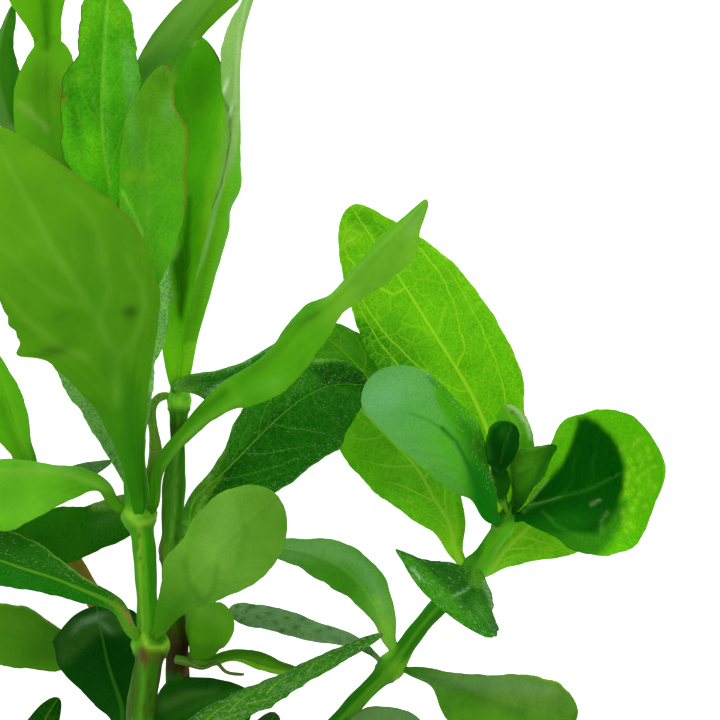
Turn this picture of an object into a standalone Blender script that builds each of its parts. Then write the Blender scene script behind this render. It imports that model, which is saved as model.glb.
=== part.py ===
"""Dwarf hygrophila: one branched water plant, cut at its foot and laid on a flat surface.

Lengths are in millimetres up to the meshes, which are in metres. +Z is up from the surface, +Y runs
from the cut foot to the tops of the shoots, and the origin is on the surface under the plant's middle.

Places in the tables below are as seen from the eye, a point straight above the plant: x and y are
where a thing seems to lie on a level at MIDDLE_LEVEL, and z is its own height over the surface.
"""

import bmesh
import bpy
import numpy as np

MM = 0.001

# Eye and levels
EYE_HEIGHT = 370.0
MIDDLE_LEVEL = 20.0
LOWEST_BLADE = 0.2
PLANT_MIDDLE = (-8.9, -8.7)

# Stems
STEM_SIDES = 8
RING_STEP = 1.9
JOINT_LENGTH = 1.3

# Leaves
STATIONS = 10
HALF_COLUMNS = 2
RIB_THICKNESS = 0.8
BLADE_THICKNESS = 0.42
STALK_THICKNESS = 1.1

# Colours of the materials
LEAF_GREEN = (0.10, 0.34, 0.02)
DARK_GREEN = (0.02, 0.15, 0.01)
GREY_GREEN = (0.14, 0.36, 0.11)
STEM_GREEN = (0.12, 0.33, 0.02)
OLD_BROWN = (0.10, 0.06, 0.02)


def stem(path, radii, joints=(), swelling=0.0, colour=STEM_GREEN):
    """A stem through the points of path, with a radius at each and swollen joints at some of them."""
    return dict(path=path, radii=radii, joints=joints, swelling=swelling, colour=colour)


def leaf(spine, left, right, up=(0, 0), bow=1.0, wave=(0, 0, 0), across=None, colour=LEAF_GREEN):
    """A leaf: spine is its midrib from stalk to tip, as (x, y, z).

    left and right have the seen widths of its two halves, at even shares of the way along, and at the
    tip both are 0. up is how high the margins stand over the midrib, as one pair for the left and the
    right, or as pairs from base to tip. bow is over 1 for a half that bends up mostly by its margin.
    wave is the margin's height, number and phase. across is where the left half points, where that
    isn't square to the midrib.
    """
    return dict(spine=spine, left=left, right=right, up=up, bow=bow, wave=wave, across=across,
                colour=colour)


STEMS = {
    "main_stem": stem(
        [(-21.5, -65.6, 1.8), (-22.0, -60.0, 4.2), (-22.4, -53.8, 6.4), (-22.5, -47.5, 8.0),
         (-22.5, -41.2, 9.0), (-22.6, -36.2, 9.5), (-23.2, -30.0, 10.0), (-23.7, -23.8, 10.5),
         (-23.4, -18.8, 11.0), (-23.1, -15.0, 11.3), (-22.9, -10.0, 11.5), (-22.8, -5.0, 11.7),
         (-22.7, -1.5, 11.9), (-22.5, 2.4, 12.2)],
        [1.9, 1.85, 1.8, 1.5, 1.3, 1.3, 1.3, 1.45, 1.4, 1.35, 1.05, 1.25, 1.0, 0.8],
        joints=(2, 7, 11), swelling=0.45, colour=OLD_BROWN),
    "front_stem": stem(
        [(-25.6, -53.6, 9.8), (-26.9, -50.0, 13.6), (-27.5, -46.0, 17.2), (-27.0, -41.0, 19.4),
         (-26.2, -35.6, 20.3), (-26.6, -30.0, 20.6), (-27.1, -22.5, 20.9), (-27.6, -19.4, 21.0),
         (-28.0, -15.6, 21.1), (-28.3, -8.8, 21.4), (-28.4, 1.3, 21.4), (-29.3, 10.0, 20.4),
         (-30.7, 17.4, 19.2)],
        [1.5, 1.6, 1.75, 1.75, 1.7, 1.3, 1.4, 1.6, 1.45, 1.2, 1.1, 0.9, 0.7],
        joints=(4, 7, 10), swelling=0.75),
    "right_stem": stem(
        [(-19.2, -59.4, 5.2), (-15.0, -56.2, 7.2), (-8.5, -50.3, 9.6), (-2.3, -43.9, 11.2),
         (1.6, -40.2, 12.0), (3.8, -38.4, 12.3), (6.0, -35.4, 12.8), (9.8, -30.8, 13.7),
         (14.4, -26.0, 14.6), (16.3, -23.2, 15.3), (18.1, -20.3, 16.2), (18.9, -18.0, 17.0)],
        [1.4, 1.4, 1.35, 1.2, 1.2, 1.45, 1.1, 1.15, 1.35, 1.2, 1.3, 0.9],
        joints=(5, 8, 10), swelling=0.5),
    "left_stem": stem(
        [(-25.2, -51.0, 4.6), (-26.3, -43.5, 3.9), (-30.0, -35.0, 3.8), (-34.0, -28.4, 4.2),
         (-36.1, -24.9, 4.5), (-38.8, -20.0, 5.2), (-41.2, -15.0, 6.0), (-43.5, -10.0, 6.2),
         (-45.6, -5.4, 6.2)],
        [1.25, 1.3, 1.3, 1.25, 1.2, 1.1, 1.05, 0.9, 0.7],
        joints=(2, 6), swelling=0.35, colour=OLD_BROWN),
    "side_shoot": stem(
        [(-30.2, 2.8, 19.8), (-32.5, 9.0, 18.6), (-35.0, 16.0, 17.4), (-37.2, 23.5, 16.4),
         (-38.2, 28.6, 16.0)],
        [0.9, 0.85, 0.85, 0.75, 0.65],
        joints=(2,), swelling=0.25),
    "dry_stalk": stem(
        [(-22.4, -38.4, 11.6), (-20.0, -38.1, 11.9), (-17.5, -38.5, 11.5), (-14.6, -39.4, 10.8)],
        [0.5, 0.45, 0.4, 0.3], colour=OLD_BROWN),
}

LEAVES = {
    "front_stem_near_leaf": leaf(
        [(-28.3, -14.6, 23.4), (-28.9, -10.0, 25.0), (-32.0, 1.5, 29.2), (-36.0, 11.2, 33.0),
         (-41.2, 21.2, 36.5), (-46.3, 29.0, 38.5)],
        [1.0, 2.3, 4.0, 7.1, 9.3, 9.6, 7.6, 4.6], [1.0, 2.4, 4.3, 7.7, 9.9, 9.3, 6.7, 3.9],
        up=(-1.5, -1.5), wave=(0.5, 3, 0.4)),
    "front_stem_far_leaf": leaf(
        [(-27.9, -16.4, 18.5), (-29.4, -11.0, 16.5), (-30.8, -5.0, 14.8), (-31.8, 0.6, 13.8),
         (-31.6, 9.0, 12.8), (-30.2, 17.0, 12.2), (-28.8, 23.0, 11.6)],
        [0.9, 2.2, 3.9, 5.8, 7.3, 7.6, 6.6, 4.2], [0.9, 2.4, 4.3, 5.9, 7.7, 8.2, 7.5, 4.8],
        up=(1.2, 1.2), colour=DARK_GREEN),
    "front_stem_top_right_leaf": leaf(
        [(-26.7, 3.2, 23.0), (-26.8, 8.0, 23.4), (-27.0, 13.8, 23.4), (-26.8, 25.0, 22.8),
         (-25.8, 31.0, 22.2), (-24.3, 36.8, 21.0)],
        [0.6, 1.2, 2.4, 3.2, 3.0, 3.2, 3.3, 3.1], [0.6, 1.2, 3.0, 4.5, 5.3, 5.3, 4.7, 3.2],
        up=(2.5, 0.4)),
    "front_stem_top_left_leaf": leaf(
        [(-31.0, 18.9, 20.0), (-31.6, 22.5, 20.8), (-32.4, 31.0, 20.6), (-32.2, 37.5, 20.2),
         (-31.9, 44.0, 19.2), (-31.3, 50.0, 17.8)],
        [0.7, 2.7, 4.9, 5.05, 4.85, 3.2, 3.0, 2.6], [0.7, 2.6, 4.6, 5.0, 4.85, 4.35, 3.6, 1.9],
        up=[(0.8, 1.2), (1.0, 1.2), (1.8, 1.0)]),
    "front_stem_top_back_leaf": leaf(
        [(-29.4, 18.2, 17.8), (-27.6, 26.0, 16.2), (-25.2, 33.5, 14.2), (-21.9, 40.0, 11.6),
         (-18.1, 45.0, 8.6), (-14.5, 49.6, 4.6)],
        [0.6, 0.7, 1.8, 3.4, 4.0, 3.75, 3.2, 2.4], [0.6, 0.7, 1.2, 1.5, 1.5, 1.5, 1.8, 2.4],
        up=(-2.6, -1.0), colour=GREY_GREEN),
    "front_stem_left_leaf": leaf(
        [(-30.4, -18.2, 21.9), (-31.9, -16.0, 23.8), (-35.0, -14.6, 25.0), (-40.0, -13.9, 25.0),
         (-45.0, -14.1, 23.5), (-49.5, -15.2, 20.5), (-52.5, -17.0, 17.0)],
        [0.9, 0.9, 2.7, 4.8, 6.1, 7.0, 6.4, 4.4], [0.9, 0.7, 1.2, 0.9, 1.4, 1.7, 1.6, 1.1],
        up=[(0, -1.5), (-0.5, -4.5), (-1.5, -4.5)]),
    "front_stem_right_leaf": leaf(
        [(-25.9, -18.4, 22.8), (-25.6, -15.0, 24.2), (-24.4, -11.9, 25.6), (-21.9, -8.8, 27.0),
         (-16.9, -3.1, 29.6), (-12.2, -0.2, 31.0), (-7.5, 4.4, 33.0), (-1.9, 9.1, 34.8),
         (1.5, 12.8, 35.8), (5.0, 16.2, 36.6), (8.4, 20.1, 37.4)],
        [0.6, 0.6, 0.6, 0.5, 0.3, 0.3, 0.2, 0.3, 0.6, 1.1, 1.4, 0.5, 0.8, 0.9, 1.2, 0.8],
        [0.6, 0.8, 1.0, 1.2, 1.8, 2.7, 4.0, 4.5, 4.5, 4.0, 3.4, 2.3, 2.9, 3.8, 4.2, 2.4],
        up=[(0, 0), (-0.8, -0.2), (-2.8, -0.6), (-3.2, -1.0), (-2.4, -1.0)]),
    "front_stem_low_left_leaf": leaf(
        [(-28.9, -34.8, 22.4), (-30.6, -30.9, 23.6), (-33.8, -29.0, 23.6), (-37.5, -27.5, 22.8),
         (-41.2, -26.3, 21.0), (-45.0, -25.0, 18.3), (-49.0, -23.4, 14.5), (-52.0, -21.8, 10.5)],
        [0.6, 0.9, 1.5, 2.1, 2.4, 3.1, 3.1, 2.2], [0.8, 0.9, 1.2, 2.1, 3.4, 3.9, 3.7, 2.5],
        up=(-0.5, 0.5), colour=DARK_GREEN),
    "front_stem_low_right_leaf": leaf(
        [(-25.4, -34.2, 22.8), (-24.2, -32.0, 24.4), (-20.6, -27.5, 28.5), (-16.9, -23.1, 32.0),
         (-13.2, -19.5, 34.0), (-10.2, -17.0, 34.8)],
        [0.7, 1.6, 3.1, 4.7, 4.5, 5.0, 5.2, 4.2], [0.7, 1.4, 2.5, 3.7, 5.3, 6.2, 6.2, 5.0],
        up=(-0.8, -0.8), wave=(0.3, 3, 1.0)),
    "front_stem_base_left_leaf": leaf(
        [(-29.6, -47.6, 13.8), (-29.6, -44.8, 12.6), (-30.4, -41.2, 11.8), (-31.6, -37.4, 11.4),
         (-32.2, -34.4, 10.6), (-32.7, -32.6, 9.0), (-33.2, -31.6, 7.4)],
        [0.7, 1.4, 2.7, 3.8, 5.1, 6.2, 6.2, 5.4], [0.7, 1.2, 2.2, 3.5, 4.4, 4.4, 3.4, 2.4],
        up=(-0.6, -0.4), colour=DARK_GREEN),
    "front_stem_base_right_leaf": leaf(
        [(-25.0, -49.4, 16.0), (-22.5, -47.8, 18.2), (-19.4, -45.8, 20.3), (-15.0, -43.4, 22.3),
         (-11.9, -41.9, 23.2), (-8.8, -40.3, 23.8), (-5.0, -38.3, 23.9), (-1.2, -36.3, 23.4),
         (2.9, -34.2, 22.2)],
        [0.6, 1.4, 2.0, 2.0, 1.7, 1.45, 1.25, 0.9], [0.6, 1.0, 1.4, 1.5, 1.2, 0.8, 0.6, 0.6],
        up=(-3.2, 3.0), wave=(0.35, 5, 0.3), colour=DARK_GREEN),
    "main_stem_top_leaf": leaf(
        [(-23.0, 3.6, 11.4), (-22.4, 8.0, 10.0), (-21.7, 13.0, 8.4), (-21.3, 20.0, 6.4),
         (-21.1, 28.0, 4.2), (-21.5, 35.0, 2.0), (-22.6, 41.2, -0.2)],
        [0.9, 1.1, 2.0, 2.6, 4.0, 4.6, 4.6, 3.8], [0.9, 1.2, 2.6, 3.0, 3.6, 4.6, 4.8, 4.4],
        up=(1.2, 0.6)),
    "main_stem_top_folded_leaf": leaf(
        [(-21.1, 3.4, 13.8), (-20.2, 6.5, 14.6), (-18.9, 11.9, 15.2), (-17.3, 18.1, 15.8),
         (-16.0, 25.0, 16.0), (-15.2, 31.2, 16.0), (-14.9, 37.5, 15.5), (-14.2, 42.2, 14.5),
         (-13.2, 46.5, 13.0), (-12.2, 50.5, 11.0)],
        [0.8, 0.9, 0.6, 0.9, 0.7, 1.4, 2.5, 0.8], [0.8, 1.2, 1.3, 1.5, 0.8, 0.2, 0.1, 0.3],
        up=[(-1.5, -1.5), (-3.6, -3.6), (-3.6, -3.6), (-2.4, -3.8), (-2.0, -3.0)],
        colour=GREY_GREEN),
    "main_stem_mid_right_leaf": leaf(
        [(-23.0, -3.7, 14.2), (-21.6, -3.3, 14.8), (-20.0, -2.8, 15.8), (-17.5, -2.2, 17.2),
         (-13.8, -0.3, 18.4), (-9.8, 2.2, 18.8), (-6.5, 4.4, 18.0)],
        [0.7, 1.0, 1.0, 0.9, 0.5, 0.3, 0.3, 0.4], [1.1, 2.4, 3.0, 2.9, 2.5, 2.0, 1.5, 1.0],
        up=[(-1.0, -0.5), (-2.4, -1.4), (-2.4, -1.4)], colour=DARK_GREEN),
    "main_stem_mid_left_leaf": leaf(
        [(-25.1, -4.7, 12.0), (-26.0, -5.6, 12.1), (-26.3, -8.8, 11.6), (-26.1, -12.5, 11.0),
         (-27.3, -16.8, 10.5), (-30.5, -19.6, 10.0), (-36.2, -21.6, 9.5), (-41.5, -22.8, 9.0),
         (-45.5, -23.4, 8.4)],
        [0.6, 0.5, 0.5, 0.9, 2.4, 2.8, 3.7, 3.4], [0.6, 0.5, 0.5, 0.9, 1.4, 2.0, 3.1, 2.6],
        up=(0.4, -0.4), colour=DARK_GREEN),
    "main_stem_right_leaf": leaf(
        [(-21.7, -22.4, 12.8), (-21.3, -18.8, 14.0), (-18.2, -15.0, 15.4), (-15.0, -11.9, 16.4),
         (-11.2, -8.1, 17.0), (-7.5, -5.0, 17.0), (-3.2, -3.1, 16.4), (1.0, -3.2, 15.2)],
        [0.8, 0.7, 1.0, 1.9, 3.5, 4.2, 4.2, 3.3], [0.8, 2.2, 4.6, 6.2, 7.0, 7.3, 7.3, 5.6],
        up=[(1.5, 0), (4.0, 0.2), (3.0, 0.5), (1.0, 1.0)], colour=DARK_GREEN),
    "main_stem_low_right_leaf": leaf(
        [(-21.0, -35.2, 10.8), (-19.8, -34.6, 13.0), (-18.0, -33.6, 16.5), (-15.8, -33.0, 20.0)],
        [0.6, 1.6, 2.3, 2.8, 3.0, 3.0, 2.8, 2.1], [0.6, 1.8, 2.6, 3.1, 3.2, 3.2, 2.9, 2.2]),
    "main_stem_low_narrow_leaf": leaf(
        [(-20.9, -37.0, 9.0), (-19.4, -37.6, 9.0), (-15.6, -37.0, 8.8), (-11.9, -38.0, 8.4),
         (-8.6, -38.7, 7.8), (-6.4, -39.2, 7.2)],
        [0.5, 0.6, 0.8, 0.8, 1.1, 1.25, 0.8, 0.5], [0.5, 0.6, 0.5, 0.6, 0.8, 0.9, 0.9, 0.6],
        up=(0.7, -0.7)),
    "main_stem_base_right_leaf": leaf(
        [(-20.5, -48.2, 8.2), (-18.0, -46.4, 8.2), (-15.0, -44.3, 7.8), (-11.6, -42.0, 7.0)],
        [0.7, 2.6, 4.0, 4.4, 4.2, 3.6, 2.8, 1.8], [0.7, 2.0, 3.0, 3.4, 3.2, 2.8, 2.2, 1.4],
        colour=DARK_GREEN),
    "main_stem_base_far_leaf": leaf(
        [(-19.6, -55.2, 6.4), (-16.0, -51.5, 6.4), (-12.5, -47.5, 6.0), (-10.6, -44.0, 5.2)],
        [0.7, 1.4, 2.1, 2.6, 2.9, 2.8, 2.4, 1.6], [0.7, 1.6, 2.6, 3.2, 3.4, 3.2, 2.6, 1.8],
        colour=GREY_GREEN),
    "main_stem_base_left_leaf": leaf(
        [(-24.9, -60.4, 3.6), (-30.5, -59.0, 4.2), (-36.0, -55.4, 4.4), (-39.6, -50.0, 4.0),
         (-39.7, -46.0, 3.2), (-37.6, -42.2, 2.2)],
        [0.6, 1.5, 2.4, 3.0, 3.2, 3.0, 2.6, 1.9], [0.6, 1.5, 2.4, 3.0, 3.2, 2.9, 2.3, 1.8],
        up=(-0.3, 0.3), colour=DARK_GREEN),
    "right_stem_low_up_leaf": leaf(
        [(3.4, -35.6, 14.6), (2.9, -33.4, 14.8), (1.5, -30.0, 15.2), (-1.2, -26.8, 15.5),
         (-5.0, -24.6, 15.2), (-8.8, -23.6, 14.4), (-12.0, -23.4, 13.2)],
        [0.6, 1.0, 1.75, 2.2, 2.8, 2.75, 2.1, 1.65], [1.1, 1.65, 2.4, 3.0, 3.05, 2.7, 1.7, 1.3],
        up=(-1.2, -0.4), colour=GREY_GREEN),
    "right_stem_low_left_leaf": leaf(
        [(1.6, -36.7, 13.2), (-0.6, -35.2, 13.6), (-5.0, -34.0, 14.2), (-10.0, -32.6, 14.6),
         (-13.8, -31.8, 14.4), (-16.4, -31.1, 13.8)],
        [0.5, 0.6, 0.95, 1.2, 1.45, 1.5, 1.45, 1.25], [0.5, 0.6, 0.7, 1.0, 1.35, 1.5, 1.4, 1.15],
        up=(2.8, -2.8), colour=GREY_GREEN),
    "right_stem_low_right_leaf": leaf(
        [(5.8, -38.8, 12.8), (8.8, -39.4, 13.0), (12.5, -40.6, 12.0), (17.5, -42.1, 9.6),
         (22.5, -43.5, 5.4), (27.2, -44.6, -0.4)],
        [0.6, 0.9, 1.4, 2.1, 2.9, 3.4, 3.4, 2.6], [0.6, 2.4, 4.6, 5.8, 6.4, 6.4, 5.6, 4.0],
        up=(3.5, -0.3)),
    "right_stem_base_leaf": leaf(
        [(-2.6, -47.4, 11.4), (0.6, -45.6, 12.2), (3.2, -45.2, 12.2), (6.6, -46.2, 11.2),
         (9.6, -48.0, 9.4)],
        [0.6, 1.2, 1.9, 2.0, 1.9, 1.8, 1.6, 1.1], [0.6, 1.2, 1.9, 2.3, 2.4, 2.2, 1.8, 1.2],
        colour=GREY_GREEN),
    "right_stem_mid_left_leaf": leaf(
        [(12.3, -24.8, 14.4), (11.3, -20.8, 12.2), (9.4, -17.5, 10.2), (7.3, -13.8, 8.5),
         (5.0, -11.2, 7.3), (2.6, -8.8, 6.4), (0.0, -6.2, 5.8), (-2.8, -3.6, 5.4)],
        [0.6, 1.9, 3.1, 4.8, 5.9, 6.0, 5.7, 4.4], [0.7, 1.6, 2.9, 4.6, 5.3, 5.3, 5.0, 3.6],
        up=(0.4, 0.7)),
    "right_stem_mid_right_leaf": leaf(
        [(16.5, -27.2, 13.4), (17.8, -24.6, 12.6), (20.4, -21.3, 11.4), (23.6, -18.8, 10.0),
         (27.6, -17.0, 8.6)],
        [0.6, 0.8, 1.6, 2.8, 3.8, 4.4, 4.2, 3.2], [0.7, 1.3, 2.5, 3.6, 4.6, 5.4, 5.6, 4.2],
        up=(-0.6, -2.2)),
    "right_stem_mid_near_leaf": leaf(
        [(14.9, -26.9, 17.2), (13.2, -27.8, 21.6), (11.6, -28.9, 26.4), (10.3, -29.8, 30.0),
         (9.4, -30.5, 31.6)],
        [0.7, 2.3, 3.8, 5.0, 6.1, 7.0, 7.5, 6.8], [0.7, 2.2, 4.0, 5.3, 6.8, 8.2, 8.4, 5.8],
        up=(-1.2, -1.2), across=(0.78, -0.63), colour=DARK_GREEN),
    "right_stem_mid_far_leaf": leaf(
        [(17.3, -20.8, 13.2), (17.4, -15.0, 11.6), (16.2, -9.6, 10.0), (13.5, -3.5, 8.8),
         (10.6, 1.2, 8.0), (7.7, 5.8, 7.0), (5.2, 9.8, 5.6), (1.9, 14.6, 3.4), (-1.2, 19.3, 0.4)],
        [0.7, 1.8, 4.6, 7.3, 8.4, 7.9, 7.0, 5.0], [0.7, 2.2, 4.6, 6.9, 7.5, 7.3, 6.0, 3.7],
        up=(0.4, 0.4)),
    "right_stem_mid_under_leaf": leaf(
        [(14.2, -23.8, 12.0), (12.2, -18.5, 8.2), (8.5, -12.5, 5.0), (4.0, -6.0, 3.0),
         (-1.0, 0.0, 2.0), (-6.6, 4.6, 1.4)],
        [0.6, 1.6, 2.8, 3.7, 4.1, 4.1, 3.7, 2.8], [0.6, 1.6, 2.8, 3.7, 4.1, 4.1, 3.7, 2.8]),
    "right_stem_top_left_leaf": leaf(
        [(16.5, -19.4, 18.6), (15.6, -17.0, 20.8), (13.8, -13.8, 23.5), (12.2, -11.0, 25.0),
         (9.9, -8.8, 26.2), (7.2, -6.9, 27.0), (3.8, -5.4, 27.2), (0.1, -5.1, 26.4)],
        [1.1, 1.7, 3.1, 4.6, 5.0, 4.95, 4.5, 3.5], [0.9, 1.5, 2.1, 3.2, 4.05, 4.5, 5.3, 4.6],
        up=(-0.8, -0.8), colour=GREY_GREEN),
    "right_stem_top_right_leaf": leaf(
        [(20.2, -19.5, 16.6), (22.8, -18.1, 15.6), (25.8, -17.0, 14.8), (28.8, -15.9, 14.6),
         (31.8, -14.8, 15.2), (34.5, -14.0, 17.0), (36.6, -13.6, 19.6), (38.1, -13.4, 22.6)],
        [0.7, 0.9, 1.6, 2.6, 3.7, 5.0, 6.4, 8.5, 9.4, 9.4, 9.1, 8.7, 8.1, 6.9, 5.3, 3.5],
        [0.7, 4.9, 6.9, 8.2, 8.9, 8.5, 7.1, 4.6],
        up=[(2.0, 0.5), (8.0, 3.0), (7.0, 3.0), (3.0, 2.0)], bow=1.5, colour=DARK_GREEN),
    "bud_left_leaf": leaf(
        [(17.5, -18.0, 18.7), (17.3, -16.2, 19.0), (17.2, -13.2, 19.2)],
        [0.5, 0.6, 0.6, 0.4], [0.5, 0.6, 0.6, 0.4], up=(-1.0, 1.0)),
    "bud_dark_leaf": leaf(
        [(18.2, -16.8, 20.6), (17.7, -14.6, 22.8), (17.5, -11.5, 24.2), (17.8, -9.0, 24.2),
         (18.0, -7.3, 23.4)],
        [0.5, 1.1, 1.7, 2.0, 2.1, 2.0, 1.8, 1.4], [0.5, 0.9, 1.3, 1.7, 2.0, 2.2, 2.1, 1.6],
        up=(1.4, 1.4), bow=1.6, colour=DARK_GREEN),
    "bud_back_leaf": leaf(
        [(19.5, -16.2, 17.2), (19.6, -13.0, 17.8), (19.4, -9.0, 18.0), (19.1, -5.6, 17.4)],
        [0.5, 1.0, 1.6, 2.0, 2.1, 2.0, 1.7, 1.1], [0.5, 1.0, 1.6, 2.1, 2.3, 2.2, 1.8, 1.2],
        up=(0.3, 1.6)),
    "bud_front_leaf": leaf(
        [(19.7, -16.9, 19.6), (20.5, -15.0, 21.2), (22.0, -13.1, 22.6), (23.5, -11.6, 23.2),
         (24.6, -10.7, 23.0)],
        [0.5, 1.6, 2.7, 3.2, 3.2, 2.7, 1.8, 0.9], [0.5, 0.9, 1.1, 1.3, 1.3, 1.2, 1.0, 0.6],
        up=(-0.5, -0.6)),
    "left_stem_upper_leaf": leaf(
        [(-39.7, -15.9, 7.8), (-37.4, -14.8, 9.6), (-34.2, -13.5, 11.0), (-31.0, -12.6, 11.6)],
        [0.5, 0.7, 0.8, 0.9, 0.9, 0.8, 0.6, 0.4], [0.5, 1.0, 1.4, 1.6, 1.6, 1.5, 1.2, 0.8],
        colour=GREY_GREEN),
    "left_stem_end_leaf": leaf(
        [(-40.9, -13.4, 8.4), (-41.9, -11.0, 9.8), (-44.0, -5.0, 11.0), (-46.2, 1.2, 11.6),
         (-48.0, 6.8, 11.2)],
        [0.6, 1.8, 3.0, 3.8, 4.0, 3.8, 3.0, 2.0], [0.6, 0.9, 1.3, 1.7, 1.9, 1.8, 1.4, 0.9],
        up=(0, 2.0)),
    "left_stem_low_leaf": leaf(
        [(-32.6, -35.4, 5.4), (-36.2, -35.6, 5.4), (-40.0, -35.4, 4.8), (-45.0, -34.6, 3.2),
         (-50.0, -33.8, 0.8), (-52.6, -33.4, -0.4)],
        [0.6, 2.2, 3.35, 3.4, 3.5, 3.4, 3.0, 2.0], [0.6, 1.0, 2.2, 3.6, 4.35, 4.2, 3.6, 2.4]),
    "side_shoot_left_leaf": leaf(
        [(-38.9, 26.2, 14.6), (-41.5, 27.4, 13.8), (-44.0, 32.0, 13.2), (-44.8, 38.0, 12.8),
         (-43.4, 44.4, 12.4)],
        [0.5, 0.8, 1.5, 2.2, 2.4, 2.0, 1.3, 0.6], [0.5, 0.8, 1.4, 2.0, 2.4, 2.1, 1.4, 1.1],
        up=(0, 0.8), colour=GREY_GREEN),
    "side_shoot_end_leaf": leaf(
        [(-38.6, 30.4, 14.8), (-39.1, 35.0, 12.4), (-39.1, 40.0, 11.8), (-39.8, 44.5, 13.6),
         (-40.4, 49.0, 17.0), (-40.6, 52.3, 20.5)],
        [0.6, 1.0, 1.5, 1.7, 2.5, 3.9, 4.3, 3.3], [0.6, 1.0, 1.4, 1.7, 2.2, 3.2, 4.0, 3.2],
        up=(1.4, 1.4)),
    "side_shoot_near_leaf": leaf(
        [(-36.2, 16.6, 18.8), (-37.4, 20.0, 18.6), (-38.8, 27.0, 18.0), (-39.4, 33.0, 16.8),
         (-39.3, 37.5, 15.4), (-39.2, 40.6, 14.2)],
        [0.6, 1.4, 2.4, 3.3, 3.9, 4.0, 3.7, 2.8], [0.6, 1.4, 2.4, 3.2, 3.7, 3.9, 3.6, 2.9]),
}


def clear_scene():
    for old in list(bpy.data.objects):
        bpy.data.objects.remove(old, do_unlink=True)


def from_eye(points):
    """Moves each point along its line of sight from where it is seen to where it is."""
    points = np.array(points, float)
    shrink = (EYE_HEIGHT - points[:, 2]) / (EYE_HEIGHT - MIDDLE_LEVEL)
    points[:, 0] *= shrink
    points[:, 1] *= shrink
    return points


def smooth_path(points, share):
    """Places at each share of the way along a natural cubic spline through the points."""
    points = np.array(points, float)
    steps = np.linalg.norm(np.diff(points, axis=0), axis=1)
    knots = np.concatenate([[0.0], np.cumsum(steps)])
    count = len(points)
    system = np.eye(count)
    right = np.zeros((count, points.shape[1]))
    for i in range(1, count - 1):
        system[i, i - 1] = steps[i - 1]
        system[i, i] = 2 * (steps[i - 1] + steps[i])
        system[i, i + 1] = steps[i]
        slopes = (points[i + 1] - points[i]) / steps[i] - (points[i] - points[i - 1]) / steps[i - 1]
        right[i] = 6 * slopes
    bend = np.linalg.solve(system, right)
    at = np.asarray(share) * knots[-1]
    i = np.clip(np.searchsorted(knots, at) - 1, 0, count - 2)
    step = steps[i][:, None]
    a = (knots[i + 1] - at)[:, None] / step
    b = (at - knots[i])[:, None] / step
    curve = (a**3 - a) * bend[i] + (b**3 - b) * bend[i + 1]
    return a * points[i] + b * points[i + 1] + curve * step**2 / 6


def unit(vectors):
    return vectors / np.maximum(np.linalg.norm(vectors, axis=-1, keepdims=True), 1e-9)


def even_curve(values, share):
    """The values at even shares, with 0 at the end, joined by a smooth curve that never overshoots.

    The curve runs over a share stretched near the tip, so that a blade can end round.
    """
    values = np.array([*values, 0.0])
    knots = 1 - np.sqrt(1 - np.linspace(0, 1, len(values)))
    at = 1 - np.sqrt(1 - np.clip(share, 0, 1))
    steps = np.diff(knots)
    slopes = np.diff(values) / steps
    bend = np.empty(len(values))
    bend[0] = slopes[0]
    bend[-1] = slopes[-1]
    for i in range(1, len(slopes)):
        before, after = slopes[i - 1], slopes[i]
        bend[i] = 0 if before * after <= 0 else 2 * before * after / (before + after)
    i = np.clip(np.searchsorted(knots, at, side="right") - 1, 0, len(slopes) - 1)
    t = (at - knots[i]) / steps[i]
    rest = 1 - t
    return (
        values[i] * (1 + 2 * t) * rest**2
        + values[i + 1] * (1 + 2 * rest) * t**2
        + steps[i] * (bend[i] * t * rest**2 - bend[i + 1] * rest * t**2)
    )


def blade_sheet(made, share, place):
    """The leaf's middle sheet, as points[station, column], and its unit normals.

    place has each column's part of the half's width, from -1 at the left margin, seen from stalk to
    tip with the upper face towards the eye, to 1 at the right one.
    """
    spine = smooth_path(made["spine"], share)
    along = unit(np.gradient(spine[:, :2], share, axis=0))
    left = np.stack([-along[:, 1], along[:, 0]], axis=1)
    if made["across"] is not None:
        left = np.tile(made["across"], (len(share), 1))
    outs = (even_curve(made["left"], share), -even_curve(made["right"], share))
    ups = np.atleast_2d(made["up"])
    steps = np.linspace(0, 1, len(ups))
    fade = (4 * share * (1 - share)) ** 0.6
    height, number, phase = made["wave"]
    points = np.empty((len(share), len(place), 3))
    for column, u in enumerate(place):
        side = 0 if u < 0 else 1
        rise = np.interp(share, steps, ups[:, side]) * fade * abs(u) ** made["bow"]
        wave = height * fade * u**2 * np.sin(2 * np.pi * number * share + phase + 2.1 * side)
        points[:, column, :2] = spine[:, :2] + (abs(u) * outs[side])[:, None] * left
        points[:, column, 2] = np.maximum(spine[:, 2] + rise + wave, LOWEST_BLADE)
    points = from_eye(points.reshape(-1, 3)).reshape(points.shape)
    lengthwise = np.gradient(points, share, axis=0)
    crosswise = np.gradient(points, place, axis=1)
    normals = np.cross(crosswise, lengthwise)
    normals[-1] = normals[-2]
    return points, unit(normals)


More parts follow.
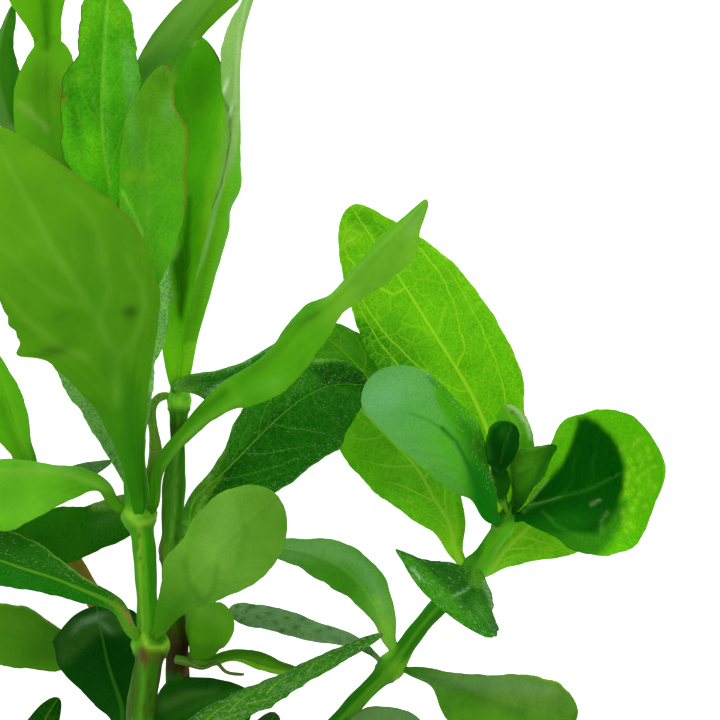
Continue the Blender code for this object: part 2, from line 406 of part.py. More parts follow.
def leaf_mesh(made):
    """Corners and faces of a leaf: two sheets that meet in thin margins and at the tip."""
    share = np.linspace(0, 1, STATIONS + 1)
    share = share * (1.45 - 0.45 * share)
    columns = 2 * HALF_COLUMNS + 1
    place = np.linspace(-1, 1, columns)
    points, normals = blade_sheet(made, share, place)
    body = np.interp(share, (0, 0.15, 1), (STALK_THICKNESS, RIB_THICKNESS, 0.3))
    inner = np.minimum(BLADE_THICKNESS, body)
    rib = 1 - np.minimum(1, np.abs(place) * HALF_COLUMNS)
    thick = body[:, None] * rib + inner[:, None] * (1 - rib) * (np.abs(place) < 1)
    shift = normals * (thick / 2)[:, :, None]
    top = points + shift
    bottom = points - shift
    corners = []
    upper = np.empty((STATIONS, columns), int)
    lower = np.empty((STATIONS, columns), int)
    for i in range(STATIONS):
        for j in range(columns):
            upper[i, j] = len(corners)
            corners.append(top[i, j])
    for i in range(STATIONS):
        for j in range(columns):
            lower[i, j] = upper[i, j]
            if 0 < j < columns - 1:
                lower[i, j] = len(corners)
                corners.append(bottom[i, j])
    tip = len(corners)
    corners.append(points[STATIONS, HALF_COLUMNS])
    faces = []
    for i in range(STATIONS - 1):
        for j in range(columns - 1):
            faces.append((upper[i, j], upper[i, j + 1], upper[i + 1, j + 1], upper[i + 1, j]))
            faces.append((lower[i, j], lower[i + 1, j], lower[i + 1, j + 1], lower[i, j + 1]))
    for j in range(columns - 1):
        faces.append((upper[-1, j], upper[-1, j + 1], tip))
        faces.append((lower[-1, j + 1], lower[-1, j], tip))
    ring = list(upper[0]) + list(lower[0, -2:0:-1])
    faces.append(tuple(reversed(ring)))
    return corners, faces


def stem_mesh(made):
    """Corners and faces of a stem: rings along a smooth path, swollen at the joints, with flat ends."""
    path = from_eye(made["path"])
    steps = np.linalg.norm(np.diff(path, axis=0), axis=1)
    knots = np.concatenate([[0.0], np.cumsum(steps)])
    rings = max(4, round(knots[-1] / RING_STEP))
    share = np.linspace(0, 1, rings)
    spine = smooth_path(path, share)
    at = share * knots[-1]
    radius = np.interp(at, knots, made["radii"])
    for joint in made["joints"]:
        radius = radius + made["swelling"] * np.exp(-(((at - knots[joint]) / JOINT_LENGTH) ** 2))
    along = unit(np.gradient(spine, share, axis=0))
    side = unit(np.cross((0.0, 0.0, 1.0), along))
    up = np.cross(along, side)
    corners = []
    for i in range(rings):
        for k in range(STEM_SIDES):
            angle = 2 * np.pi * k / STEM_SIDES
            corners.append(spine[i] + radius[i] * (np.cos(angle) * side[i] + np.sin(angle) * up[i]))
    faces = []
    for i in range(rings - 1):
        for k in range(STEM_SIDES):
            a = i * STEM_SIDES + k
            b = i * STEM_SIDES + (k + 1) % STEM_SIDES
            faces.append((a, b, b + STEM_SIDES, a + STEM_SIDES))
    faces.append(tuple(reversed(range(STEM_SIDES))))
    faces.append(tuple(range((rings - 1) * STEM_SIDES, rings * STEM_SIDES)))
    return corners, faces


def material(name, colour):
    made = bpy.data.materials.new(name)
    made.use_nodes = True
    surface = made.node_tree.nodes["Principled BSDF"]
    surface.inputs["Base Color"].default_value = (*colour, 1.0)
    surface.inputs["Roughness"].default_value = 0.42
    surface.inputs["Metallic"].default_value = 0.0
    return made


def add_piece(name, corners, faces, colour):
    """One named object of the plant, placed by its own foot, the middle of its first ring of corners."""
    foot = np.mean([corners[i] for i in faces[-1 if name in LEAVES else -2]], axis=0)
    grown = bmesh.new()
    for corner in corners:
        grown.verts.new([value * MM for value in corner - foot])
    grown.verts.ensure_lookup_table()
    for face in faces:
        grown.faces.new([grown.verts[i] for i in face])
    mesh = bpy.data.meshes.new(name)
    grown.to_mesh(mesh)
    grown.free()
    mesh.shade_smooth()
    mesh.materials.append(material(name, colour))
    piece = bpy.data.objects.new(name, mesh)
    piece.location = [value * MM for value in foot - np.array([*PLANT_MIDDLE, 0.0])]
    bpy.context.scene.collection.objects.link(piece)


def build():
    clear_scene()
    for name, made in STEMS.items():
        add_piece(name, *stem_mesh(made), made["colour"])
    for name, made in LEAVES.items():
        add_piece(name, *leaf_mesh(made), made["colour"])


build()
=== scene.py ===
"""The looks of the dwarf hygrophila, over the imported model: its leaves, stems, veins, hairs and light.

Lengths are in millimetres up to the meshes. Places in the tables are as seen from the eye, a point
straight above the plant: x and y are where a thing seems to lie on a level at MIDDLE_LEVEL, and z is
its own height over the surface. So each piece covers the solid of the same name.
"""

import math
import zlib
from functools import partial

import bpy
import numpy as np
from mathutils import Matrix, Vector


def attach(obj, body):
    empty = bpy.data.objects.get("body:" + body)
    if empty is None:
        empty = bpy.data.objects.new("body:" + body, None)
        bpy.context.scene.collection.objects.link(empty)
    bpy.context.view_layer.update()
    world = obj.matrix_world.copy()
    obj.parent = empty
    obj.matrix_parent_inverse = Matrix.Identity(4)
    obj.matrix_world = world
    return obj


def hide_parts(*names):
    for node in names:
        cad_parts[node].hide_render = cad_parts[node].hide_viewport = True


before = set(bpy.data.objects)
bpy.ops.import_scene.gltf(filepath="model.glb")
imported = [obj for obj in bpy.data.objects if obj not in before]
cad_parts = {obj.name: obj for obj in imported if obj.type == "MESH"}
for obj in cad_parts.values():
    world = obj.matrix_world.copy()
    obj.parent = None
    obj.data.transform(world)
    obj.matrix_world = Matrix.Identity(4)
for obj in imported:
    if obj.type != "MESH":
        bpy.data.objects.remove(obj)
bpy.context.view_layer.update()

MM = 0.001

# Eye, levels and camera
EYE_HEIGHT = 370.0
MIDDLE_LEVEL = 20.0
LOWEST_BLADE = 0.3
PLANT_MIDDLE = (-8.9, -8.7)
LENS = 140.0
SENSOR = 36.0
CLIP = (0.01, 20.0)

# The leaves' mesh: its steps, the fewest and the most of them, and how they crowd at the tip and margins
STATION_STEP = 0.36
STATIONS = (30, 200)
TIP_CROWDING = 0.35
COLUMN_STEP = 0.28
COLUMNS = (9, 44)
MARGIN_CROWDING = 0.115

# A stalk's end inside its stem
STEM_SAMPLES = 200
ROOT_DEPTH = 1.8
ROOT_TAPER = 0.6
ROOT_OFF_CORE = 0.2
ROOT_BEND = (0.5, 0.45)

# The leaves' outlines and sheets: wave lengths with their heights, and how far the margins flutter
MARGIN_RIPPLES = ((8.0, 4.3, 2.3, 1.1), (0.05, 0.05, 0.03, 0.018))
RAGGED_SHARES = (0.04, 0.3)
SMOOTH_TIP = 0.12
SWELLS = ((13.0, 6.5), (0.28, 0.14))
SWELL_SKEW = 2.5
RISE_ROUNDING = 0.6
SIDE_PHASE = 2.1

# The leaves' sections: the blade, the midrib's half-width and depth by share of the length, the stalk
BLADE_THICKNESS = 0.3
MARGIN_SHARPNESS = 6
RIB_HALF_WIDTHS = ((0, 0.25, 1), (0.75, 0.5, 0.14))
RIB_DEPTHS = ((0, 0.15, 0.6, 1), (0.7, 0.4, 0.18, 0.05))
RIB_PAINTED = 0.75
STALK_THICKNESS = 1.15
STALK_WIDTHS = (0.95, 1.7)
STALK_FLATNESS = 0.85
STALK_KEEL = 1.15
GROOVE_DEPTH = 0.3
GROOVE_WIDTH = 0.35
QUILT = 0.14
QUILT_FROM_RIB = (0.5, 2.0)
QUILT_FROM_MARGIN = (0.2, 1.5)

# Side veins: shares where the counts before the first and after the last begin, and limits
VEIN_ENDS = (-2.0, 1.6)
VEIN_TIP = 1.02
VEIN_THINNING = 3
LEAST_HALF_WIDTH = 0.4
LEAST_VEIN_SLOPE = 0.04

# Where a leaf's colours turn into each other
TIP_COLOUR_FROM = 0.5
HALF_COLOUR_EDGE = 0.3
FOOT_COLOUR_FROM = 0.02
MARK_ENDS = 0.08

# Hairs: the spread of their tilts and lengths, and how they bend, droop and taper
HAIR_TILTS = (0.4, 1.5)
HAIR_LENGTHS = (0.5, 1.3)
HAIR_SWERVE = 0.5
HAIR_DROOP = 0.3
HAIR_TAPER = 0.7
HAIR_FACES = [(0, 2, 3, 1), (2, 4, 5, 3), (4, 0, 1, 5), (1, 3, 6), (3, 5, 6), (5, 1, 6), (4, 2, 0)]

# Sizes of the stems' parts
STEM_SIDES = 40
RING_STEP = 0.35
FEWEST_RINGS = 12
JOINT_LENGTH = 1.3
COLLAR = 0.16
COLLAR_PLACE = 1.2
COLLAR_WIDTH = 0.3
STEM_RIPPLES = ((9.0, 4.0), (0.05, 0.03))
RIBS = 4
RIB_HEIGHTS = (0.05, 0.015)
RIB_PALENESS = 0.22
JOINT_PALENESS = 0.5
CUT_RINGS = ((0.8, 0.1), (0.45, 0.02))
FLECK_AGES = (0.3, 0.7)
CUT_AGE = 0.2

# Sizes of the patterns in the skins, as noise scales to the centimetre, and of their bumps in metres
BLOTCH_SCALE = 2.2
MOTTLE_SCALE = 12.0
CELL_SCALE = 34.0
WARP_SCALE = 5.0
VEIN_WANDER_SCALE = 1.7
NET_SCALES = (4.2, 13.0)
STRAND_SCALE = 17.0
STRAND_STRETCH = 6.0
HOAR_SCALE = 5.0
FIBRE_SCALE = 34.0
BAND_SCALE = 11.0
FLECK_SCALE = 20.0
LEAF_BUMP = 0.00016
STEM_BUMP = 0.0002
BUMP_STRENGTH = 0.5

# How much light goes through: its contrast and its tint
THROUGH_GAMMA = 0.55
THROUGH_TINT = (1.0, 1.0, 0.3, 1.0)

# Room: the lamps' names, places in metres and powers in watts
LAMP_SIZE = 0.4
LAMPS_FACE = (0.0, 0.0, 0.015)
LAMPS = (
    ("key", (-0.15, 0.45, 0.5), 2.7),
    ("fill_left", (-0.55, -0.1, 0.4), 1.1),
    ("fill_right", (0.5, -0.05, 0.45), 1.1),
    ("fill_near", (0.1, -0.5, 0.45), 0.9),
)
ROOM_LIGHT = 0.5
TABLE_HALF = 3.0
TABLE_GLOW = 0.85

# Colours as seen, from 0 to 255
PALETTE = {
    "fresh": (82, 166, 20),
    "soft": (84, 154, 24),
    "shaded": (46, 116, 14),
    "deep": (24, 104, 8),
    "paling": (116, 178, 46),
    "pale": (142, 192, 98),
    "lime": (132, 196, 26),
    "frost": (126, 178, 116),
    "brown": (84, 62, 24),
    "dark_brown": (44, 26, 10),
    "pith": (150, 168, 92),
    "hair": (196, 222, 176),
}


def stem(path, radii, joints=(), swelling=0.0):
    """A stem through the points of path, with a radius at each and swollen joints at some of them."""
    return dict(path=path, radii=radii, joints=joints, swelling=swelling)


def leaf(spine, left, right, up=(0, 0), bow=1.0, wave=(0, 0, 0), across=None):
    """A leaf: spine is its midrib from stalk to tip, as (x, y, z).

    left and right have the seen widths of its two halves, at even shares of the way along, and at the
    tip both are 0. up is how high the margins stand over the midrib, as one pair for the left and the
    right, or as pairs from base to tip. bow is over 1 for a half that bends up mostly by its margin.
    wave is the margin's height, number and phase. across is where the left half points, where that
    isn't square to the midrib.
    """
    return dict(spine=spine, left=left, right=right, up=up, bow=bow, wave=wave, across=across)


STEMS = {
    "main_stem": stem(
        [(-21.5, -65.6, 1.8), (-22, -60, 4.2), (-22.4, -53.8, 6.4), (-22.5, -47.5, 8), (-22.75, -41.2, 9),
         (-22.9, -36.2, 9.5), (-23.3, -30, 10), (-23.45, -23.8, 10.5), (-23.4, -18.8, 11),
         (-23.2, -15, 11.3), (-22.8, -10, 11.5), (-22.6, -5, 11.7), (-22.5, -1.5, 11.9), (-22.4, 2.4, 11.8)],
        [1.9, 1.85, 1.8, 1.6, 1.5, 1.5, 1.45, 1.3, 1.45, 1.4, 0.95, 1.15, 0.8, 0.5], joints=(2, 7, 11),
        swelling=0.45),
    "front_stem": stem(
        [(-25.6, -53.6, 9.8), (-26.9, -50, 13.6), (-27.5, -46, 17.2), (-27, -41, 19.4),
         (-26.2, -35.6, 20.3), (-26.6, -30, 20.6), (-27.1, -22.5, 20.9), (-27.6, -19.4, 21),
         (-28, -15.6, 21.1), (-28.3, -8.8, 21.4), (-28.4, 1.3, 21.4), (-29.3, 10, 20.4),
         (-30.7, 17.4, 19.2)], [1.5, 1.6, 1.75, 1.75, 1.7, 1.3, 1.4, 1.6, 1.45, 1.2, 1.1, 0.9, 0.7],
        joints=(4, 7, 10), swelling=0.75),
    "right_stem": stem(
        [(-18.6, -59.8, 5.2), (-14.2, -56.4, 7.2), (-7.8, -50.5, 9.6), (-1.7, -44, 11.2), (1.8, -40.4, 12),
         (3.8, -38.4, 12.3), (6, -35.4, 12.8), (9.8, -30.8, 13.7), (14.4, -26, 14.6), (16.3, -23.2, 15.3),
         (18.1, -20.3, 16.2), (18.9, -18, 17)],
        [1.3, 1.2, 1.15, 1.05, 1.1, 1.4, 1.1, 1.15, 1.3, 1.1, 1, 0.7], joints=(5, 8, 10), swelling=0.5),
    "left_stem": stem(
        [(-25.2, -51, 4.6), (-26.3, -43.5, 3.9), (-30, -35, 3.8), (-34, -28.4, 4.2), (-36.1, -24.9, 4.5),
         (-38.8, -20, 5.2), (-41.2, -15, 6), (-43.5, -10, 6.2), (-45.6, -5.4, 6.2)],
        [1.25, 1.3, 1.3, 1.25, 1.2, 1.1, 1.05, 0.9, 0.7], joints=(2, 6), swelling=0.35),
    "side_shoot": stem(
        [(-30.2, 2.8, 19.8), (-32.5, 9, 18.6), (-35, 16, 17.4), (-37.2, 23.5, 16.4), (-38.2, 28.6, 16)],
        [0.9, 0.85, 0.85, 0.75, 0.65], joints=(2,), swelling=0.25),
    "dry_stalk": stem(
        [(-23, -37.4, 11.4), (-21.2, -37.9, 11.8), (-19.4, -38.4, 11.8), (-17.9, -37.9, 11.7),
         (-17, -38.8, 11.5), (-16, -39.2, 11.2), (-14.6, -39.3, 10.8)],
        [0.5, 0.5, 0.35, 0.28, 0.25, 0.18, 0.1]),
}

LEAVES = {
    "front_stem_near_leaf": leaf(
        [(-27.6, -19.4, 22.7), (-27.8, -17, 23.6), (-28.3, -13.5, 24.3), (-28.9, -10, 25.1),
         (-32, 1.5, 29.2), (-36, 11.2, 33), (-41.2, 21.2, 36.5), (-46.3, 29, 38.5)],
        [0.6, 1.45, 3, 5.9, 9, 9.8, 8.2, 5], [0.6, 1.45, 3.1, 6.1, 9.2, 9.65, 7.3, 4.2], up=(-1.5, -1.5),
        wave=(0.5, 3, 0.4)),
    "front_stem_far_leaf": leaf(
        [(-27.9, -16.4, 18.5), (-29.4, -11, 16.5), (-30.8, -5, 14.8), (-31.8, 0.6, 13.8), (-31.6, 9, 12.8),
         (-30.2, 17, 12.2), (-28.8, 23, 11.6)], [0.9, 2.2, 3.9, 5.8, 7.3, 7.6, 6.6, 4.2],
        [0.9, 2.4, 4.3, 5.9, 7.7, 8.2, 7.5, 4.8], up=(1.2, 1.2)),
    "front_stem_top_right_leaf": leaf(
        [(-26.7, 3.2, 23), (-26.8, 8, 23.4), (-27, 13.8, 23.4), (-26.8, 25, 22.8), (-25.8, 31, 22.2),
         (-24.3, 36.8, 21)], [0.6, 1.2, 2.4, 3.2, 3, 3.2, 3.2, 2.4], [0.6, 1.2, 3, 4.5, 5.3, 5.2, 4.9, 2.3],
        up=(2.5, 0.4)),
    "front_stem_top_left_leaf": leaf(
        [(-31, 18.9, 20), (-31.6, 22.5, 20.8), (-32.4, 31, 20.6), (-32.2, 37.5, 20.2), (-31.9, 44, 19.2),
         (-31.3, 50, 17.8)], [0.7, 3.5, 5.1, 5.05, 4.85, 3.2, 3, 2.6],
        [0.7, 2.6, 4.6, 5, 4.85, 4.35, 3.6, 1.9], up=[(0.8, 1.2), (1, 1.2), (1.8, 1)]),
    "front_stem_top_back_leaf": leaf(
        [(-29.4, 18.2, 17.8), (-27.6, 26, 16.2), (-25.2, 33.5, 14.2), (-21.9, 40, 11.6), (-18.1, 45, 8.6),
         (-14.5, 49.6, 4.6)], [0.6, 0.7, 1.8, 3.4, 4, 3.75, 3.2, 2.4],
        [0.6, 0.7, 1.2, 1.5, 1.5, 1.5, 1.8, 2.4], up=(-2.6, -1)),
    "front_stem_left_leaf": leaf(
        [(-30.4, -18.2, 21.9), (-31.9, -16, 23.8), (-35, -14.6, 25), (-40, -13.9, 25), (-45, -14.1, 23.5),
         (-49.5, -15.2, 20.5), (-52.5, -17, 17)], [0.8, 0.8, 2.7, 5, 6.5, 7.4, 6.8, 4.6],
        [0.7, 0.7, 1.2, 0.9, 1.4, 1.7, 1.6, 1.1], up=[(0, -1.5), (-0.5, -4.5), (-1.5, -4.5)]),
    "front_stem_right_leaf": leaf(
        [(-25.9, -18.4, 22.8), (-25.6, -15, 24.2), (-24.4, -11.9, 25.6), (-21.9, -8.8, 27),
         (-16.9, -3.1, 29.6), (-12.2, -0.2, 31), (-7.5, 4.4, 33), (-1.9, 9.1, 34.8), (1.5, 12.8, 35.8),
         (5, 16.2, 36.6), (8.4, 20.1, 37.4)],
        [0.6, 0.6, 0.6, 0.5, 0.3, 0.3, 0.2, 0.3, 0.6, 1.1, 1.4, 0.5, 0.8, 0.9, 1.2, 0.8],
        [0.6, 0.8, 1, 1.2, 1.8, 2.7, 4, 4.5, 4.5, 4, 3.4, 2.3, 2.9, 3.7, 3.8, 1.8],
        up=[(0, 0), (-0.8, -0.2), (-2.8, -0.6), (-3.2, -1), (-2.4, -1)]),
    "front_stem_low_left_leaf": leaf(
        [(-28.2, -34.4, 21.8), (-30.2, -30.9, 23.4), (-33.8, -29, 23.6), (-37.5, -27.5, 22.8),
         (-41.2, -26.3, 21), (-45, -25, 18.3), (-49, -23.4, 14.5), (-52, -21.8, 10.5)],
        [0.6, 0.9, 1.5, 2.1, 2.4, 3.1, 3.1, 2.2], [0.8, 0.9, 1.2, 2.1, 3.4, 3.9, 3.7, 2.5], up=(-0.5, 0.5)),
    "front_stem_low_right_leaf": leaf(
        [(-25.4, -34.2, 22.8), (-24.2, -32, 24.4), (-20.6, -27.5, 28.5), (-16.9, -23.1, 32),
         (-13.2, -19.5, 34), (-10.2, -17, 34.8)], [0.7, 1.6, 3.1, 4.7, 4.5, 5, 5.2, 4.2],
        [0.7, 1.4, 2.5, 3.7, 5.3, 6.2, 6.2, 5], up=(-0.8, -0.8), wave=(0.3, 3, 1)),
    "front_stem_base_left_leaf": leaf(
        [(-29.6, -47.6, 13.8), (-29.6, -44.8, 12.6), (-30.4, -41.2, 11.8), (-31.6, -37.4, 11.4),
         (-32.2, -34.4, 10.6), (-32.6, -32.4, 9), (-32.9, -30.7, 7.4)],
        [0.7, 1.4, 2.7, 3.8, 5.1, 6.2, 6.2, 4.6], [0.7, 1.2, 2.2, 3.6, 4.8, 5.4, 5.3, 4.6], up=(-0.6, -0.4)),
    "front_stem_base_right_leaf": leaf(
        [(-25, -49.4, 16), (-22.5, -47.8, 18.2), (-19.4, -45.8, 20.3), (-15, -43.4, 22.3),
         (-11.9, -41.9, 23.2), (-8.8, -40.3, 23.8), (-5, -38.3, 23.9), (-1.2, -36.3, 23.4),
         (2.9, -34.2, 22.2)], [0.6, 1.4, 2, 2, 1.7, 1.45, 1.25, 0.9],
        [0.6, 1, 1.5, 1.7, 1.5, 1.1, 0.9, 0.75], up=(-3.2, 3), wave=(0.35, 5, 0.3)),
    "main_stem_top_leaf": leaf(
        [(-22.9, -2.8, 13.2), (-22.8, 0.5, 13.6), (-22.5, 4, 12.8), (-22.3, 8, 10.8), (-21.7, 13, 8.4),
         (-21.3, 20, 6.4), (-21.1, 28, 4.2), (-21.5, 35, 2), (-22.6, 41.2, -0.2)],
        [1, 2.2, 1.6, 2.1, 3, 4.3, 4.65, 4.1], [0.8, 1.2, 1.4, 2.65, 3.15, 4.1, 4.75, 4.5], up=(1.2, 0.6)),
    "main_stem_top_folded_leaf": leaf(
        [(-21.9, -2.6, 13.8), (-21.4, 0.5, 14.2), (-20.2, 6.5, 14.6), (-18.9, 11.9, 15.2),
         (-17.3, 18.1, 15.8), (-16.1, 25, 16), (-15.4, 31.2, 16), (-15.2, 37.5, 15.5), (-14.5, 42.2, 14.5),
         (-13.2, 46.5, 13), (-12.2, 50.5, 11)], [0.7, 0.9, 1.1, 1.3, 1.5, 1.6, 2.3, 1.1],
        [0.4, 0.7, 1.1, 1.3, 1.2, 0.4, 0.12, 0.3],
        up=[(-1.5, -1.5), (-3.6, -3.6), (-3.6, -3.6), (-2.4, -3.8), (-2, -3)]),
    "main_stem_mid_right_leaf": leaf(
        [(-22.9, -3.2, 14), (-21.6, -2.9, 14.8), (-20, -2.6, 15.8), (-17.5, -2.2, 17.2),
         (-13.8, -0.3, 18.4), (-9.8, 2.2, 18.8), (-6.5, 4.4, 18)], [0.7, 1, 1, 0.9, 0.5, 0.3, 0.3, 0.4],
        [0.7, 1.6, 2.9, 2.9, 2.5, 2, 1.5, 1], up=[(-1, -0.5), (-2.4, -1.4), (-2.4, -1.4)]),
    "main_stem_mid_left_leaf": leaf(
        [(-24.9, -4.6, 12.1), (-25.8, -5.5, 12.3), (-25.8, -8.8, 11.9), (-25.6, -12, 11.2),
         (-27, -16.6, 10.5), (-30.5, -19.6, 10), (-36.2, -21.6, 9.5), (-41.5, -22.8, 9),
         (-45.5, -23.4, 8.4)], [0.55, 0.5, 0.85, 0.9, 2.8, 3.1, 3.7, 3.4],
        [0.55, 0.5, 0.85, 0.9, 2.4, 2.8, 3.5, 3], up=(0.4, -0.4)),
    "main_stem_right_leaf": leaf(
        [(-21.7, -22.4, 12.8), (-21.3, -18.8, 14), (-18.2, -15, 15.4), (-15, -11.9, 16.4),
         (-11.2, -8.1, 17), (-7.5, -5, 17), (-3.2, -3.1, 16.4), (1, -3.2, 15.2)],
        [0.8, 0.7, 1, 1.9, 3.5, 4.2, 4.2, 3.3], [0.8, 2.2, 4.6, 6.2, 7.1, 7.5, 7.8, 6.8],
        up=[(1.5, 0), (4, 0.2), (3, 0.5), (1, 1)]),
    "main_stem_low_right_leaf": leaf(
        [(-22.2, -33.8, 9.6), (-20.6, -33.6, 12.2), (-18.2, -33.2, 16.2), (-15.7, -33, 19.8)],
        [2.2, 2.5, 2.8, 3, 3.1, 3.1, 2.9, 2.2], [3, 3.5, 3.9, 3.9, 3.7, 3.3, 2.9, 2.2]),
    "main_stem_low_narrow_leaf": leaf(
        [(-20.9, -37, 9), (-19.4, -37.6, 9), (-15.6, -37, 8.8), (-11.9, -38, 8.4), (-8.6, -38.7, 7.8),
         (-6.4, -39.2, 7.2)], [0.5, 0.6, 0.8, 0.8, 1.1, 1.25, 0.8, 0.5],
        [0.5, 0.6, 0.5, 0.6, 0.8, 0.9, 0.9, 0.6], up=(0.7, -0.7)),
    "main_stem_base_right_leaf": leaf(
        [(-20.6, -50.4, 9.8), (-20.1, -46.5, 11.6), (-19.4, -43, 11.4), (-18.6, -39.7, 10.2)],
        [0.8, 3.6, 5.4, 6, 6.1, 6.1, 6, 5.4], [0.7, 3.4, 5.2, 6, 6.1, 6.1, 6, 5.4], across=(-0.99, 0.12)),
    "main_stem_base_far_leaf": leaf(
        [(-19.6, -55.2, 6.4), (-16, -51.5, 6.4), (-12.5, -47.5, 6), (-10.6, -44, 5.2)],
        [0.7, 1.4, 2.1, 2.6, 2.9, 2.8, 2.4, 1.6], [0.7, 1.6, 2.6, 3.2, 3.4, 3.2, 2.6, 1.8]),
    "main_stem_base_left_leaf": leaf(
        [(-24.9, -60.4, 3.6), (-30.5, -59, 4.2), (-36, -55.4, 4.4), (-39.6, -50, 4), (-39.7, -46, 3.2),
         (-37.6, -42.2, 2.2)], [0.6, 1.5, 2.4, 3, 3.2, 3, 2.6, 1.9], [0.6, 1.5, 2.4, 3, 3.2, 2.9, 2.3, 1.8],
        up=(-0.3, 0.3)),
    "right_stem_low_up_leaf": leaf(
        [(3.5, -35.2, 13.2), (3, -33.2, 14.6), (1.5, -30, 15.2), (-1.2, -26.8, 15.5), (-5, -24.6, 15.2),
         (-8.8, -23.6, 14.4), (-12, -23.4, 13.2)], [0.6, 1, 1.75, 2.2, 2.8, 2.75, 2.1, 1.65],
        [1.1, 1.65, 2.4, 3, 3.05, 2.7, 1.7, 1.3], up=(-1.2, -0.4)),
    "right_stem_low_left_leaf": leaf(
        [(1.6, -36.7, 13.2), (-0.6, -35.2, 13.6), (-5, -34, 14.2), (-10, -32.6, 14.6), (-13.8, -31.8, 14.4),
         (-16.4, -31.1, 13.8)], [0.4, 0.5, 0.95, 1.2, 1.45, 1.5, 1.5, 1.45],
        [0.4, 0.5, 0.7, 1, 1.35, 1.5, 1.5, 1.4], up=(2.8, -2.8)),
    "right_stem_low_right_leaf": leaf(
        [(5.8, -38.8, 12.8), (8.8, -39.4, 13), (12.5, -40.6, 12), (17.5, -42.1, 9.6), (22.5, -43.5, 5.4),
         (27.2, -44.6, -0.4)], [0.5, 0.7, 1.4, 2.2, 3.1, 3.7, 3.8, 3],
        [0.4, 1.3, 4.6, 6.2, 6.6, 6.4, 5.6, 4], up=(3.5, -0.3)),
    "right_stem_base_leaf": leaf(
        [(-2.6, -47.4, 11.4), (0.6, -45.6, 12.2), (3.2, -45.2, 12.2), (6.6, -46.2, 11.2), (9.6, -48, 9.4)],
        [0.6, 1.2, 1.9, 2, 1.9, 1.8, 1.6, 1.1], [0.6, 1.2, 1.9, 2.3, 2.4, 2.2, 1.8, 1.2]),
    "right_stem_mid_left_leaf": leaf(
        [(12.3, -24.8, 14.4), (11.3, -20.8, 12.2), (9.4, -17.5, 10.2), (7.3, -13.8, 8.5), (5, -11.2, 7.3),
         (2.6, -8.8, 6.4), (0, -6.2, 5.8), (-2.8, -3.6, 5.4)], [0.6, 1.9, 3.1, 4.8, 5.9, 6, 5.7, 4.4],
        [0.7, 1.6, 2.9, 4.6, 5.3, 5.3, 5, 3.6], up=(0.4, 0.7)),
    "right_stem_mid_right_leaf": leaf(
        [(15, -26.7, 13.6), (17.4, -24.4, 12.8), (20.2, -21.5, 11.4), (23.6, -18.8, 10), (27.6, -17, 8.6)],
        [0.6, 0.8, 1.6, 2.8, 3.8, 4.4, 4.2, 3.2], [0.7, 1.3, 2.6, 3.9, 5.1, 6, 6.3, 5], up=(-0.6, -2.2)),
    "right_stem_mid_near_leaf": leaf(
        [(14.9, -26.9, 17.2), (13.2, -27.8, 21.6), (11.6, -28.9, 26.4), (10.3, -29.8, 30),
         (9.4, -30.5, 31.6)], [0.7, 2.7, 4.1, 5.25, 6.5, 7.4, 8, 7.5],
        [0.7, 2.6, 3.6, 4.5, 5.4, 7.2, 8.4, 6.4], up=(-1.2, -1.2), across=(0.755, -0.656)),
    "right_stem_mid_far_leaf": leaf(
        [(17.3, -20.8, 13.2), (17.4, -15, 11.6), (16.2, -9.6, 10), (13.5, -3.5, 8.8), (10.6, 1.2, 8),
         (7.7, 5.8, 7), (5.2, 9.8, 5.6), (1.9, 14.6, 3.4), (-1.2, 19.3, 0.4)],
        [0.7, 1.8, 4.6, 7.3, 8.5, 8.2, 7.1, 5], [0.7, 2.2, 4.6, 6.9, 7.5, 7.3, 6, 3.7], up=(0.4, 0.4)),
    "right_stem_mid_under_leaf": leaf(
        [(12.6, -24.6, 12.4), (10.9, -20.2, 9), (8, -14.5, 5.6), (4, -7, 3.4), (-1, 0, 2), (-6.6, 4.6, 1.4)],
        [0.6, 1.2, 2.4, 3.6, 4.2, 4.5, 4.4, 3.5], [0.5, 0.9, 1.8, 3.2, 4.1, 4.4, 4, 2.8]),
    "right_stem_top_left_leaf": leaf(
        [(16.5, -19.4, 18.6), (15.6, -17, 20.8), (13.8, -13.8, 23.5), (12.2, -11, 25), (9.9, -8.8, 26.2),
         (7.2, -6.9, 27), (3.8, -5.4, 27.2), (0.1, -5.1, 26.4)], [1.1, 1.7, 3.1, 4.6, 5, 4.95, 4.5, 3.5],
        [0.9, 1.5, 2.1, 3.2, 4.05, 4.5, 5.3, 4.6], up=(-0.8, -0.8)),
    "right_stem_top_right_leaf": leaf(
        [(20.2, -19.5, 16.6), (22.8, -18.1, 15.6), (25.8, -17, 14.8), (28.8, -15.9, 14.6),
         (31.8, -14.8, 15.2), (34.5, -14, 17), (36.6, -13.6, 19.6), (38.1, -13.4, 22.6)],
        [0.7, 0.9, 1.9, 3.4, 5.6, 7.3, 8.5, 9.1, 9.1, 9, 8.6, 8, 7.2, 5.9, 4.5, 2.9],
        [0.7, 5, 7.2, 8.7, 9.1, 7.9, 5.7, 3.5], up=[(2, 0.5), (8, 3), (7, 3), (3, 2)], bow=1.5),
    "bud_left_leaf": leaf(
        [(17.9, -17.9, 18.9), (17.4, -16.2, 20.2), (17, -14.6, 20.8), (16.7, -13.2, 20.8)],
        [0.4, 0.5, 0.6, 0.7, 0.75, 0.75, 0.7, 0.5], [0.4, 0.6, 0.9, 1.2, 1.5, 1.6, 1.6, 1.3],
        up=(-0.6, 0.4)),
    "bud_dark_leaf": leaf(
        [(17.6, -14, 21.4), (17.5, -12.6, 23.4), (17.7, -11, 24.4), (18.1, -9.2, 24.2), (18.4, -7.6, 23.2)],
        [0.5, 1, 1.5, 1.8, 2, 2.1, 2.1, 1.8], [0.5, 1, 1.4, 1.7, 1.9, 2, 2, 1.6], up=(1.4, 1.4), bow=1.6),
    "bud_back_leaf": leaf(
        [(19.5, -16.2, 17.2), (19.6, -13, 17.8), (19.2, -9, 18), (18.2, -5.6, 17.4)],
